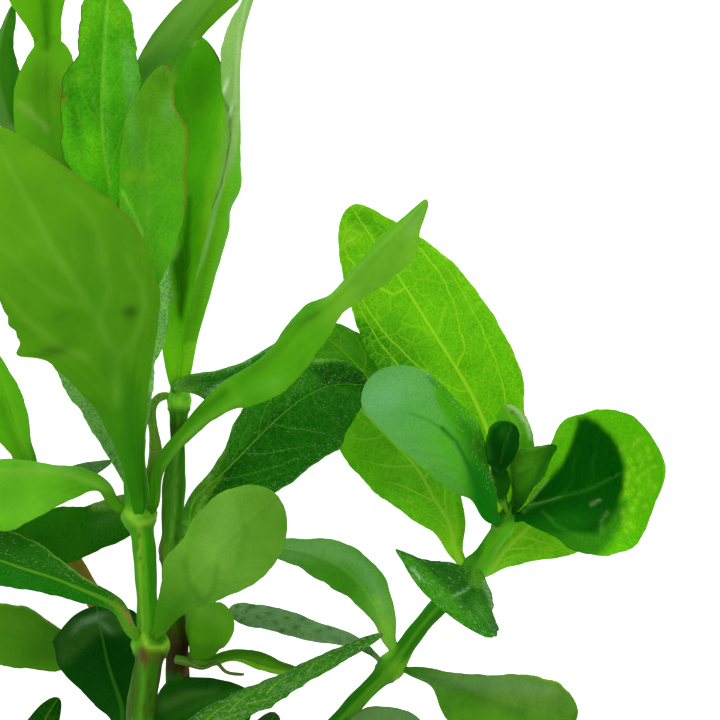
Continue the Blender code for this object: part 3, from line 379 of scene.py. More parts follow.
        [0.5, 1, 1.6, 2, 2.1, 2, 1.8, 1.6], [0.5, 1, 1.6, 2.1, 2.3, 2.3, 2.1, 1.6], up=(0.3, 1.6)),
    "bud_front_leaf": leaf(
        [(19.9, -18, 18.8), (20.2, -16, 20.4), (20.9, -14.5, 21.6), (22.2, -12.9, 22.6),
         (23.5, -11.6, 23.2), (24.6, -10.7, 23)], [0.5, 0.7, 0.9, 1.9, 3, 3, 2, 1.1],
        [0.5, 0.9, 1.3, 1.5, 1.75, 1.6, 1.2, 0.7], up=(-0.5, -0.6)),
    "left_stem_upper_leaf": leaf(
        [(-39.7, -15.9, 7.8), (-37.4, -14.8, 9.6), (-34.2, -13.5, 11), (-31, -12.6, 11.6)],
        [0.5, 0.7, 0.8, 0.9, 0.9, 0.8, 0.6, 0.4], [0.5, 1, 1.4, 1.6, 1.6, 1.5, 1.2, 0.8]),
    "left_stem_end_leaf": leaf(
        [(-40.9, -13.4, 8.4), (-41.9, -11, 9.8), (-44, -5, 11), (-46.2, 1.2, 11.6), (-48, 6.8, 11.2)],
        [0.6, 1.8, 3, 3.8, 4, 3.8, 3, 2], [0.6, 0.9, 1.6, 2, 1.7, 1.2, 0.7, 0.4], up=(0, 2)),
    "left_stem_low_leaf": leaf(
        [(-32.6, -35.4, 5.4), (-36.2, -35.6, 5.4), (-40, -35.4, 4.8), (-45, -34.6, 3.2), (-50, -33.8, 0.8),
         (-52.6, -33.4, -0.4)], [0.6, 2.2, 3.35, 3.4, 3.5, 3.4, 3, 2],
        [0.6, 1, 2.2, 3.6, 4.35, 4.2, 3.6, 2.4]),
    "side_shoot_left_leaf": leaf(
        [(-38.9, 26.2, 14.6), (-41.5, 27.4, 13.8), (-44, 32, 13.2), (-44.8, 38, 12.8), (-43.4, 44.4, 12.4)],
        [0.5, 0.8, 1.5, 2.2, 2.4, 2, 1.3, 0.6], [0.5, 0.8, 1.4, 2, 2.4, 2.1, 1.4, 1.1], up=(0, 0.8)),
    "side_shoot_end_leaf": leaf(
        [(-38.6, 30.4, 14.8), (-39.1, 35, 12.4), (-39.1, 40, 11.8), (-39.8, 44.5, 13.6), (-40.4, 49, 17),
         (-40.6, 52.3, 20.5)], [0.6, 1, 1.5, 1.7, 2.5, 3.9, 4.3, 3.3], [0.6, 1, 1.4, 1.7, 2.2, 3.2, 4, 3.2],
        up=(1.4, 1.4)),
    "side_shoot_near_leaf": leaf(
        [(-36.2, 16.6, 18.8), (-37.4, 20, 18.6), (-38.8, 27, 18), (-39.4, 33, 16.8), (-39.3, 37.5, 15.4),
         (-39.2, 40.6, 14.2)], [0.6, 1.4, 2.4, 3.3, 3.9, 4, 3.6, 2.3],
        [0.6, 1.4, 2.4, 3.2, 3.7, 3.9, 3.9, 3.5]),
}


def linear(colour):
    """A colour of the palette, or one given from 0 to 255, as the renderer counts light."""
    seen = np.array(PALETTE.get(colour, colour), float) / 255
    return np.where(seen <= 0.04045, seen / 12.92, ((seen + 0.055) / 1.055) ** 2.4)


def opaque(colour):
    return (*linear(colour), 1.0)


def draws(name):
    """Random numbers of a piece's own, the same on every run."""
    return np.random.default_rng(zlib.crc32(name.encode()))


def unit(vectors):
    return vectors / np.maximum(np.linalg.norm(vectors, axis=-1, keepdims=True), 1e-9)


def ease(value, low, high):
    """0 under low, 1 over high, and a smooth step between them."""
    part = np.clip((np.asarray(value, float) - low) / (high - low), 0, 1)
    return part * part * (3 - 2 * part)


def from_eye(points):
    """Moves each point along its line of sight from where it is seen to where it is."""
    points = np.array(points, float)
    shrink = (EYE_HEIGHT - points[..., 2:]) / (EYE_HEIGHT - MIDDLE_LEVEL)
    points[..., :2] *= shrink
    return points


def to_eye(points):
    """Moves each point along its line of sight from where it is to where it is seen."""
    points = np.array(points, float)
    grow = (EYE_HEIGHT - MIDDLE_LEVEL) / (EYE_HEIGHT - points[..., 2:])
    points[..., :2] *= grow
    return points


def in_frame(points):
    """Millimetres from the eye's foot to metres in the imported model's frame."""
    return (points - np.array([*PLANT_MIDDLE, 0.0])) * MM


def smooth_path(points, share):
    """Places at each share of the way along a natural cubic spline through the points."""
    points = np.array(points, float)
    steps = np.linalg.norm(np.diff(points, axis=0), axis=1)
    knots = np.concatenate([[0.0], np.cumsum(steps)])
    count = len(points)
    system = np.eye(count)
    right = np.zeros((count, points.shape[1]))
    for i in range(1, count - 1):
        system[i, i - 1] = steps[i - 1]
        system[i, i] = 2 * (steps[i - 1] + steps[i])
        system[i, i + 1] = steps[i]
        slopes = (points[i + 1] - points[i]) / steps[i] - (points[i] - points[i - 1]) / steps[i - 1]
        right[i] = 6 * slopes
    bend = np.linalg.solve(system, right)
    at = np.asarray(share) * knots[-1]
    i = np.clip(np.searchsorted(knots, at) - 1, 0, count - 2)
    step = steps[i][:, None]
    a = (knots[i + 1] - at)[:, None] / step
    b = (at - knots[i])[:, None] / step
    curve = (a**3 - a) * bend[i] + (b**3 - b) * bend[i + 1]
    return a * points[i] + b * points[i + 1] + curve * step**2 / 6


def even_curve(values, share):
    """The values at even shares, with 0 at the end, joined by a smooth curve that never overshoots.

    The curve runs over a share stretched near the tip, so that a blade can end round.
    """
    values = np.array([*values, 0.0])
    knots = 1 - np.sqrt(1 - np.linspace(0, 1, len(values)))
    at = 1 - np.sqrt(1 - np.clip(share, 0, 1))
    steps = np.diff(knots)
    slopes = np.diff(values) / steps
    bend = np.empty(len(values))
    bend[0] = slopes[0]
    bend[-1] = slopes[-1]
    for i in range(1, len(slopes)):
        before, after = slopes[i - 1], slopes[i]
        bend[i] = 0 if before * after <= 0 else 2 * before * after / (before + after)
    i = np.clip(np.searchsorted(knots, at, side="right") - 1, 0, len(slopes) - 1)
    t = (at - knots[i]) / steps[i]
    rest = 1 - t
    return (
        values[i] * (1 + 2 * t) * rest**2
        + values[i + 1] * (1 + 2 * rest) * t**2
        + steps[i] * (bend[i] * t * rest**2 - bend[i + 1] * rest * t**2)
    )


def ripple(draw, at, lengths, heights):
    """A sum of sine waves of those lengths and heights, with phases drawn for this piece."""
    total = np.zeros(np.shape(at))
    for length, height in zip(lengths, heights):
        total += height * np.sin(2 * np.pi * (at / length + draw.uniform()))
    return total


def inside(seen, outline, edge):
    """1 in a closed outline, 0 outside it, with a soft edge of that width."""
    outline = np.array(outline, float)
    x, y = seen[..., 0], seen[..., 1]
    crossed = np.zeros(x.shape, bool)
    nearest = np.full(x.shape, np.inf)
    for a, b in zip(outline, np.roll(outline, -1, axis=0)):
        run, rise = b - a
        along = np.clip(((x - a[0]) * run + (y - a[1]) * rise) / (run**2 + rise**2), 0, 1)
        nearest = np.minimum(nearest, np.hypot(x - a[0] - along * run, y - a[1] - along * rise))
        if rise:
            at = a[0] + (y - a[1]) * run / rise
            crossed ^= ((a[1] > y) != (b[1] > y)) & (x < at)
    return ease(np.where(crossed, nearest, -nearest), -edge / 2, edge / 2)


def new_piece(name, corners, faces, maps=None, skin=None, node=None):
    """A smooth mesh piece from corners in millimetres, riding on the plant's one body.

    maps has a UV map's name and a pair of values for each face's each corner, skin has each corner's
    colour, and node is the solid that the piece stands for.
    """
    mesh = bpy.data.meshes.new(name)
    mesh.from_pydata(in_frame(corners).tolist(), [], faces)
    for map_name, values in (maps or {}).items():
        layer = mesh.uv_layers.new(name=map_name)
        layer.data.foreach_set("uv", np.asarray(values, np.float32).ravel())
    if skin is not None:
        layer = mesh.color_attributes.new("skin", "FLOAT_COLOR", "POINT")
        rgba = np.concatenate([skin, np.ones((len(skin), 1))], axis=1)
        layer.data.foreach_set("color", rgba.astype(np.float32).ravel())
    mesh.shade_smooth()
    mesh.validate()
    piece = bpy.data.objects.new(name, mesh)
    bpy.context.scene.collection.objects.link(piece)
    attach(piece, "root")
    if node:
        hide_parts(node)
    return piece


def spot(colour, x, y, long, wide, turn=0.0, strength=0.6):
    """An oval mark with soft edges, turned by that many degrees from the x axis."""
    cosine, sine = math.cos(math.radians(turn)), math.sin(math.radians(turn))

    def mask(seen, sheet):
        dx, dy = seen[..., 0] - x, seen[..., 1] - y
        far = np.hypot((dx * cosine + dy * sine) / long, (dy * cosine - dx * sine) / wide)
        return strength * np.exp(-(far**2.5))

    return colour, mask


def zone(colour, outline, edge=1.0, strength=1.0):
    """A mark that fills an outline, with an edge that many millimetres soft."""
    return colour, lambda seen, sheet: strength * inside(seen, outline, edge)


def stroke(colour, path, width, end_width=None, strength=0.6):
    """A soft line along a path, with its half-width at the start and at the end."""
    path = np.array(path, float)
    steps = np.concatenate([[0.0], np.cumsum(np.linalg.norm(np.diff(path, axis=0), axis=1))])
    widths = np.interp(steps, (0, steps[-1]), (width, end_width or width))

    def mask(seen, sheet):
        best = np.zeros(seen.shape[:2])
        for a, b, first, last in zip(path, path[1:], widths, widths[1:]):
            run = b - a
            along = np.clip(((seen[..., :2] - a) @ run) / (run @ run), 0, 1)
            off = np.linalg.norm(seen[..., :2] - a - along[..., None] * run, axis=-1)
            best = np.maximum(best, np.exp(-((off / (first + along * (last - first))) ** 2)))
        return strength * best

    return colour, mask


def margin(colour, side, begin, end, width, strength=0.7):
    """A strip along a leaf's left or right margin, from one share of its length to another."""
    index = ("left", "right").index(side)

    def mask(seen, sheet):
        off = (1 - np.abs(sheet["place"])[None, :]) * sheet["widths"][index][:, None]
        half = (sheet["place"] < 0) if index == 0 else (sheet["place"] > 0)
        share = sheet["share"]
        span = ease(share, begin, begin + MARK_ENDS) * (1 - ease(share, end - MARK_ENDS, end))
        return strength * half[None, :] * (1 - ease(off, 0.4 * width, width)) * span[:, None]

    return colour, mask


def fuzz(density, length, lean=0.0, spread=25.0, rise=20.0, left=(0.0, 1.0), right=(0.0, 1.0),
         share=(0.05, 1.0), radius=0.018):
    """Hairs of a leaf: how many to a square millimetre, how long, and which way they lie.

    lean is their turn from the midrib towards the left margin, and rise their tilt off the blade, in
    degrees. left and right say between which parts of each half's width they grow.
    """
    return dict(density=density, length=length, lean=lean, spread=spread, rise=rise, left=left,
                right=right, share=share, radius=radius)


# A leaf's finish: its colours from foot to tip and on either half, its veins and its hairs. A lobe is
# (side, share, how far it stands out, half-length in shares). veins has where each half's side veins
# start, lean and bend how they sweep forward, and reach where they thin out towards the margin.
PLAIN = dict(
    tip=None, foot="soft", foot_end=0.26, left=None, right=None, lobes=(), ragged=1.0,
    veins=((0.04, 0.2, 0.34, 0.5, 0.66), (0.0, 0.13, 0.27, 0.42, 0.58, 0.74)), lean=0.5, bend=1.5,
    reach=(0.45, 0.9), vein_colour="lime", rib=0.7, rib_size=1.0, rib_up=0.1, vein=0.4,
    vein_width=0.2, net=0.22, blotch=0.5, cells=0.4, frost=0.0, fibres=0.0, fibre_turn=0.0,
    roughness=0.55, gloss=0.02, through=0.35, fine=1.0, hairs=None, slot="leaf_bright")


def look(base, *parts, **own):
    """A leaf's finish: the plain one, changed by its kinds and its own values, under its marks."""
    made = PLAIN | dict(base=base, marks=[part for part in parts if isinstance(part, tuple)])
    for kind in parts:
        if isinstance(kind, dict):
            made = made | kind
    return made | own


THIN = dict(through=0.45, net=0.55, vein=0.9, rib=0.95, cells=0.9)
SOFT = dict(vein=0.0, net=0.0, cells=0.16, rib=0.3, rib_size=1.6, vein_colour="paling")
THICK = dict(through=0.15, gloss=0.015, net=0.06, foot="shaded", slot="leaf_dark")
HAIRY = dict(frost=0.04, fibres=0.3, roughness=0.6, gloss=0.02)
GREY = dict(slot="leaf_grey", through=0.25, net=0.0, vein=0.0)

# Of each leaf: the base colour, its kinds, its marks in the order they are painted, and its own values
LOOKS = {
    "front_stem_near_leaf": look(
        (82, 148, 22), SOFT,
        stroke((112, 172, 52), [(-30.2, -5), (-30.8, 0.4), (-33, 5.6), (-38.5, 14), (-42.2, 21.2),
            (-45, 26.6)], 0.7, 0.4, 0.5),
        stroke((108, 168, 48), [(-34.2, 0.4), (-36.9, 1.4), (-41.8, 5.2), (-45, 8.9)], 0.6, 0.4, 0.4),
        stroke((108, 168, 48), [(-34.2, 6.9), (-37.9, 7.9), (-41.8, 11.1), (-45, 14.4)], 0.6, 0.4, 0.45),
        stroke((108, 168, 48), [(-37.5, 12.2), (-40, 13.8), (-45, 18.2)], 0.5, 0.3, 0.3),
        stroke((108, 168, 48), [(-32.4, 5.9), (-31.4, 9.1), (-32, 11.8), (-33, 16.8), (-34.9, 19.5),
            (-36.9, 21.6)], 0.7, 0.4, 0.4),
        stroke((108, 168, 48), [(-31, -0.2), (-28.8, 2), (-27.5, 4.2), (-26.8, 6.9), (-27.4, 9.4),
            (-29.1, 12.9)], 0.6, 0.4, 0.4),
        stroke((96, 158, 40), [(-35.8, 9.4), (-35.2, 12.2), (-36.2, 15), (-38.5, 17.2)], 0.5, 0.3, 0.25),
        zone((44, 120, 12), [(-29.5, -1.5), (-28.2, -0.8), (-27.5, -5), (-26.8, -11.2), (-26.6, -17.5),
            (-29.2, -17.5), (-29.5, -11.2), (-30, -6.2)], 1.8, 0.55),
        stroke((60, 140, 20), [(-31, -7.5), (-29.8, -12.5), (-29, -17.5)], 0.5, 0.4, 0.4),
        stroke((122, 182, 60), [(-26.6, -10), (-26.4, -15), (-26.2, -19)], 0.35, 0.35, 0.5),
        spot((54, 128, 12), -31.2, -0.5, 2.6, 1.4, 100, 0.5),
        spot((38, 88, 14), -28.8, 6.1, 1, 0.9, 0, 0.75),
        spot((60, 116, 16), -37.2, 5.6, 1.2, 0.6, 20, 0.6),
        spot((66, 104, 24), -38.2, 1.2, 2, 0.7, 10, 0.7),
        spot((62, 142, 18), -35, 6.2, 4.5, 3, 60, 0.4),
        spot((100, 168, 34), -42.5, 14.4, 5, 3, 40, 0.35),
        margin((110, 120, 36), "right", 0.56, 0.95, 0.6, 0.4),
        tip=(94, 162, 26), foot=(52, 134, 14), foot_end=0.46, rib=0, through=0.4, blotch=0.5,
        lobes=(("left", 0.468, 2, 0.024), ("left", 0.512, 0.5, 0.014), ("left", 0.55, 0.6, 0.016),
            ("left", 0.59, 0.3, 0.014))),
    "front_stem_far_leaf": look(
        (104, 174, 66), THICK, HAIRY,
        zone((148, 222, 108), [(-25.5, 12.2), (-24, 12.2), (-23.8, 7.5), (-24.2, 1.9), (-26, -5),
            (-26.8, -2.5), (-26.2, 7.5)], 0.6, 0.8),
        stroke((120, 186, 88), [(-37.2, -1.5), (-34.5, -5.5), (-31.2, -10), (-29, -13.8)], 0.7, 0.5, 0.7),
        stroke((120, 184, 90), [(-34.5, -2.5), (-32.5, -6.2), (-30.2, -10)], 0.2, 0.2, 0.5),
        foot=(92, 162, 56), foot_end=0.5, frost=0.3, fibre_turn=1.1, cells=2.2, blotch=1.2, ragged=2,
        hairs=fuzz(6, 0.4, 60, 70, 35, left=(0.2, 1), right=(0.2, 1))),
    "front_stem_top_right_leaf": look(
        (84, 170, 28),
        spot((130, 96, 50), -24, 36.5, 0.5, 0.4, 0, 0.8),
        spot((50, 122, 14), -24.5, 34.5, 0.8, 1.6, 0, 0.5),
        spot((108, 172, 84), -23.9, 31.5, 1.6, 1, 80, 0.5),
        spot((106, 176, 70), -28.5, 28.8, 5, 0.8, 100, 0.45),
        spot((130, 184, 28), -28.8, 23, 1, 0.8, 20, 0.55),
        spot((130, 184, 28), -26.5, 22.8, 1.4, 0.7, 0, 0.5),
        spot((60, 150, 14), -26.2, 25, 2.6, 1.2, 80, 0.4),
        stroke((132, 206, 60), [(-29.8, 21), (-28.5, 18.5), (-27.2, 15.5)], 0.22, 0.18, 0.8),
        stroke((108, 184, 44), [(-26.5, 15), (-26.2, 21.2), (-26.8, 26.2), (-26.2, 30)], 0.3, 0.25, 0.4),
        margin((124, 108, 34), "right", 0.4, 0.97, 0.45, 0.75),
        spot((84, 180, 14), -23.8, 18.8, 4, 1.4, 85, 0.5),
        tip=(84, 150, 24), foot=(72, 166, 14), vein=0.25, vein_width=0.25, rib=0.3, net=0.1,
        vein_colour="paling", fine=0.7, blotch=0.9, cells=0.7),
    "front_stem_top_left_leaf": look(
        (68, 162, 22),
        stroke((44, 134, 12), [(-32.8, 26.2), (-33.5, 31.2), (-33.2, 37.5), (-32.5, 42.5)], 0.9, 0.8, 0.4),
        stroke((44, 138, 14), [(-30.8, 28.8), (-30.2, 31.2), (-30.2, 36.2), (-31, 41.2)], 0.8, 0.7, 0.3),
        spot((108, 210, 22), -33.2, 27, 3.4, 1.5, 100, 0.6),
        stroke((116, 190, 60), [(-31.2, 21.8), (-32, 26.2), (-32.2, 31), (-32, 37.5), (-31.5, 45)], 0.2,
            0.2, 0.7),
        stroke((104, 180, 50), [(-33.5, 32.5), (-32.8, 31), (-32, 29.8)], 0.16, 0.14, 0.7),
        stroke((100, 176, 50), [(-34.2, 37.5), (-33.8, 34.5), (-33, 32)], 0.16, 0.12, 0.5),
        stroke((36, 120, 12), [(-36.8, 36.8), (-36, 34.5), (-36.2, 32), (-35.8, 29.2)], 0.9, 0.7, 0.5),
        spot((120, 196, 24), -34.5, 41.2, 1.6, 0.6, 80, 0.5),
        spot((110, 186, 30), -35.2, 35.2, 1.4, 0.7, 30, 0.5),
        stroke((104, 180, 56), [(-31.5, 23.8), (-31.5, 30), (-31.8, 36.2)], 0.2, 0.18, 0.5),
        stroke((96, 196, 26), [(-37, 31.2), (-36.8, 27.5), (-35.2, 24.4), (-33.8, 22.8)], 0.9, 0.6, 0.6),
        zone((98, 164, 80), [(-29.8, 40.2), (-28.8, 39.8), (-27.8, 36.2), (-27.9, 31.2), (-28.8, 30),
            (-29.5, 35)], 0.8, 0.55),
        spot((112, 180, 22), -29.8, 42.5, 1.6, 1, 60, 0.4),
        margin((70, 56, 18), "left", 0.12, 0.95, 0.16, 0.85),
        spot((130, 70, 30), -37.2, 32.9, 0.5, 0.4, 0, 0.8),
        tip=(94, 174, 26), foot=(78, 180, 20), rib=0.3, vein=0.25, vein_width=0.15, net=0.14, through=0.4,
        rib_size=0.45, rib_up=-0.1, blotch=1.3, cells=1.1, fine=0.8, ragged=1.8),
    "front_stem_top_back_leaf": look(
        (74, 132, 32), GREY,
        stroke((104, 154, 64), [(-27.2, 37.8), (-24.2, 40.8), (-20.5, 45)], 0.5, 0.8, 0.5),
        stroke((50, 112, 36), [(-27.8, 35.5), (-25, 37.2), (-22, 38.8)], 1.3, 0.8, 0.45),
        zone((58, 138, 14), [(-23.5, 36.2), (-22.5, 38.8), (-20.5, 39.8), (-19, 38.8), (-20, 36.2),
            (-21.8, 34.5)], 2, 0.9),
        spot((140, 184, 90), -20.5, 39.4, 0.6, 0.5, 0, 0.6),
        tip=(90, 152, 40), foot=(64, 130, 20), right=(86, 152, 28), rib=0, ragged=0.3),
    "front_stem_left_leaf": look(
        (98, 178, 34), SOFT,
        stroke((76, 156, 18), [(-32.5, -16.2), (-36.2, -15.8), (-38.8, -15.8)], 0.8, 0.6, 0.4),
        stroke((122, 188, 64), [(-31.2, -16.2), (-37.5, -14), (-45, -14.2)], 0.35, 0.4, 0.5),
        spot((110, 190, 48), -41.2, -18.5, 3, 1.5, 10, 0.5),
        spot((110, 196, 40), -43.8, -19.8, 2.5, 1, 10, 0.5),
        spot((66, 136, 16), -31, -17, 2.2, 0.7, 30, 0.5),
        tip=(106, 182, 38), foot=(58, 136, 8), foot_end=0.42, through=0.4, blotch=0.8, cells=0.3),
    "front_stem_right_leaf": look(
        (82, 164, 20), SOFT,
        zone((112, 176, 46), [(-4.2, 4.8), (-3.2, 8.5), (2.5, 15), (9, 20.5), (8, 12.2), (4.5, 8),
            (-1.9, 3.2)], 3, 0.9),
        spot((124, 176, 90), 6.6, 17, 2.2, 0.8, 55, 0.5),
        spot((112, 180, 70), -11, -2.9, 1.8, 0.9, 20, 0.25),
        stroke((60, 118, 20), [(-12.2, 1), (-9.8, 3.2), (-7.2, 4.8), (-5.2, 6)], 0.35, 0.3, 0.6),
        stroke((50, 124, 12), [(-26, -18.1), (-25.5, -12.8), (-23.5, -9.8), (-20.5, -6.8), (-16.8, -4)],
            0.7, 0.6, 0.75),
        stroke((112, 176, 56), [(-25, -17.5), (-24.2, -13), (-22, -10), (-19, -7.2), (-15, -5)], 0.4, 0.4,
            0.6),
        stroke((64, 142, 16), [(-15, -3.1), (-10.6, 1), (-7.5, 5), (-4.8, 7.5)], 0.8, 0.6, 0.5),
        stroke((98, 184, 50), [(-15.5, -4.4), (-12.2, -3), (-9, -1.5)], 1.2, 0.8, 0.15),
        spot((76, 156, 24), 4.8, 13.8, 2, 1, 60, 0.3),
        tip=(126, 186, 50), foot=(56, 122, 8), foot_end=0.4, through=0.4, rib=0, blotch=0.9,
        left=(84, 166, 22)),
    "front_stem_low_left_leaf": look(
        (30, 96, 8), THICK,
        spot((150, 100, 70), -29.1, -31.8, 2, 0.3, 130, 0.8),
        margin((96, 150, 50), "right", 0.2, 0.95, 0.25, 0.7),
        tip=(30, 94, 8), foot=(76, 140, 28), foot_end=0.24, rib=0.8, rib_size=0.7,
        vein_colour=(78, 144, 22), fibres=0.05, fibre_turn=0.45, cells=1.3, left="deep", vein=0, net=0,
        hairs=fuzz(3, 0.4, 20, 25, 15, left=(1.1, 1.2), radius=0.011)),
    "front_stem_low_right_leaf": look(
        (104, 164, 52), SOFT,
        spot((124, 178, 74), -17.2, -21.2, 5, 2.4, 75, 0.6),
        stroke((62, 126, 18), [(-22, -25), (-21.2, -28.1), (-19.5, -30.4), (-18.2, -28.5), (-17.8, -25.5)],
            0.4, 0.3, 0.5),
        stroke((70, 134, 24), [(-15.2, -17.5), (-14.2, -21.2), (-15.2, -25.6)], 0.4, 0.4, 0.35),
        stroke((84, 150, 34), [(-20.5, -20), (-21.2, -23.5), (-23, -27.5)], 0.5, 0.4, 0.35),
        spot((56, 128, 14), -23.5, -31.5, 3, 1.8, 50, 0.5),
        stroke((122, 176, 66), [(-20, -17.5), (-16, -16), (-12.2, -16.2)], 0.5, 0.5, 0.3),
        tip=(88, 146, 40), foot=(70, 134, 18), foot_end=0.55, through=0.4, rib=0, blotch=0.8, cells=0.4),
    "front_stem_base_left_leaf": look(
        (6, 60, 4), THICK,
        # painted sheen: a grey shine along the top of the dark leaf
        zone((44, 90, 26), [(-38, -35), (-36.2, -32.5), (-32, -31), (-28, -32.8), (-28.8, -34.2),
            (-33, -34.5), (-36.2, -37.8), (-37.5, -38.1)], 1.6, 0.8),
        # painted highlights: three pale glossy patches
        spot((110, 150, 110), -33.5, -32.5, 1.8, 0.5, 20, 0.55),
        spot((100, 140, 96), -31.8, -33.4, 1.2, 0.4, -40, 0.5),
        spot((90, 130, 84), -35.5, -33.8, 1, 0.4, 50, 0.45),
        foot=(20, 76, 10), left=(10, 66, 6), rib=0.5, rib_size=0.8, vein_colour=(50, 116, 20), vein=0,
        net=0, cells=1, blotch=1.2),
    "front_stem_base_right_leaf": look(
        (48, 112, 16), THICK, HAIRY,
        stroke((24, 90, 8), [(-21.2, -45), (-15, -41.2), (-7.5, -37.5), (1.8, -34.5)], 0.35, 0.15, 0.8),
        stroke((64, 128, 26), [(-17.5, -44.5), (-11.2, -41.8), (-5, -39), (2, -35)], 0.5, 0.2, 0.2),
        stroke((120, 170, 90), [(-20.5, -43.2), (-15, -40.2), (-7.5, -37), (-1.2, -35)], 0.3, 0.15, 0.5),
        spot((120, 90, 60), 2.9, -34.2, 0.5, 0.4, 0, 0.8),
        rib=0, rib_up=-0.12, fibres=0.5, frost=0, cells=1.5, fibre_turn=0.35, blotch=1, ragged=1.6,
        lobes=(("right", 0.5, 0.3, 0.015), ("right", 0.57, 0.4, 0.015), ("right", 0.64, 0.35, 0.015),
            ("right", 0.71, 0.3, 0.015), ("right", 0.78, 0.25, 0.015)),
        hairs=fuzz(1.6, 0.35, 10, 30, 15, radius=0.012)),
    "main_stem_top_leaf": look(
        (80, 170, 20),
        # painted shade: the steep left half beside the midrib, darkened as it lies in shade
        zone((30, 108, 8), [(-23.5, 12), (-22.5, 13.8), (-21.9, 16.5), (-21.5, 20.4), (-21.1, 20.6),
            (-21.2, 16), (-21.2, 12.2), (-21.5, 8.5), (-22.1, 4.8), (-22.9, 5.5)], 0.9, 0.9),
        # painted light: the right half made brighter against the shadow that the folded leaf casts on it
        zone((124, 190, 36), [(-19.4, 11.2), (-20, 15), (-19.2, 21.2), (-18.2, 26.2), (-17, 31.9),
            (-15.8, 31.9), (-16.2, 21.2), (-18.1, 12.5)], 1.5, 0.75),
        spot((60, 138, 14), -20, 33.8, 4, 2, 90, 0.5),
        spot((104, 168, 40), -21.8, 31.2, 3, 0.6, 100, 0.3),
        stroke((150, 190, 120), [(-23.5, 12.8), (-23.1, 13.8), (-23.2, 14.8)], 0.4, 0.3, 0.6),
        margin((60, 36, 14), "right", 0.35, 0.97, 0.25, 0.95),
        # the foot's light green is partly painted light, set brighter against the same shadow
        foot=(122, 208, 32), foot_end=0.5, through=0.4, vein=0.15, rib=0.1, net=0.08, blotch=0.8),
    "main_stem_top_folded_leaf": look(
        (112, 176, 56), GREY,
        zone((140, 188, 98), [(-18.2, 37.5), (-16.8, 41.2), (-15, 45), (-13.2, 45), (-14.5, 41.2),
            (-15.2, 36.2), (-15.2, 28.8), (-15.5, 31.5), (-16.8, 32), (-17.8, 33.8)], 0.6, 0.95),
        stroke((132, 186, 84), [(-15.5, 29), (-16, 26.5), (-16.8, 23.4), (-17.6, 20.2), (-18.4, 16.6),
            (-19.4, 12.9), (-20.4, 10.4)], 0.6, 0.2, 0.8),
        zone((98, 182, 22), [(-15.1, 31.8), (-14, 31.5), (-14.1, 20.6), (-15.8, 18.5), (-16.5, 12.2),
            (-19, 3.1), (-21.8, 1.9), (-21, 6.2), (-20.2, 9.8), (-19.1, 12.2), (-18.1, 16), (-17.2, 19.5),
            (-16.4, 23), (-15.6, 26.2), (-15.4, 29.4)], 0.4, 1),
        stroke((150, 196, 110), [(-15.4, 31), (-15.8, 27.5), (-16.5, 23.8), (-17.4, 20.1), (-18.2, 16.5),
            (-19.2, 12.8), (-20.2, 10.2)], 0.2, 0.12, 0.7),
        stroke((168, 206, 136), [(-14, 45), (-15, 41.2), (-15.4, 36.2), (-15.5, 32)], 0.16, 0.12, 0.7),
        # painted highlights: two white glints near the left margin
        spot((210, 236, 196), -16.8, 34, 1.4, 0.25, 70, 0.85),
        spot((206, 232, 190), -16, 31, 1.3, 0.22, 80, 0.8),
        stroke((60, 40, 16), [(-18.4, 37.2), (-17.6, 33.8), (-16.2, 31), (-16, 27.5), (-17, 22.5),
            (-18.2, 18.8)], 0.14, 0.12, 0.7),
        foot=(122, 208, 30), foot_end=0.62, rib=0, roughness=0.5, gloss=0.012,
        lobes=(("right", 0.465, 0.8, 0.03), ("right", 0.4, -0.6, 0.025))),
    "main_stem_mid_right_leaf": look(
        (36, 114, 10), THICK, HAIRY,
        # painted highlight along the folded midrib
        stroke((170, 210, 150), [(-19.2, -4.5), (-18, -3.5), (-15.5, -2), (-12.2, 0)], 0.25, 0.16, 0.85),
        stroke((20, 84, 8), [(-21.8, -3), (-19.2, -2.2), (-16.2, -1.2)], 0.5, 0.4, 0.5),
        stroke((30, 96, 10), [(-21.2, -5), (-18.2, -4.5), (-14.5, -2.5)], 0.5, 0.4, 0.6),
        # painted highlight on the folded edge beside the stalk
        stroke((120, 176, 90), [(-23, -4), (-22.2, -4.6), (-21.2, -4.2)], 0.35, 0.3, 0.7),
        margin((80, 156, 26), "left", 0.1, 0.7, 0.6, 0.6),
        foot=(92, 160, 44), rib=0, fibre_turn=0.3, cells=1.8, vein=0, net=0, blotch=1.1, ragged=1.6,
        hairs=fuzz(6, 0.4, 15, 40, 25, radius=0.014)),
    "main_stem_mid_left_leaf": look(
        (30, 98, 8), THICK,
        zone((34, 104, 10), [(-45, -15), (-27.5, -16), (-26, -20), (-37.5, -26.2), (-45, -25)], 1.5, 0.95),
        zone((104, 146, 60), [(-33.8, -17.5), (-33.2, -16.2), (-31.2, -15.5), (-29.5, -16.2),
            (-29.5, -18.2), (-31.5, -18.8), (-33.5, -18.8)], 0.8, 0.8),
        stroke((66, 116, 40), [(-32.5, -20.5), (-31, -19.8), (-29, -19.2)], 0.9, 0.7, 0.6),
        spot((104, 110, 50), -26, -13.8, 2.2, 0.8, 90, 0.25),
        tip=(24, 90, 8), foot=(128, 172, 60), foot_end=0.5, rib=0, vein=0, net=0, cells=1.2, blotch=1.1),
    "main_stem_right_leaf": look(
        (18, 96, 6), THICK,
        zone((10, 72, 5), [(-6, -0.8), (-2.5, -0.2), (0.8, -1.5), (1, -4), (-1.2, -3.2), (-5, -2.8)], 1.6,
            0.85),
        stroke((104, 168, 50), [(-5.8, -0.1), (-2, 0.2), (0, -0.8)], 0.3, 0.2, 0.7),
        zone((80, 150, 28), [(-21.8, -20.5), (-21.4, -18), (-20.8, -15.8), (-18.5, -12.8), (-17, -9.8),
            (-16.5, -10.8), (-18.2, -14.8), (-19.2, -18), (-20.1, -20.8)], 0.6, 0.9),
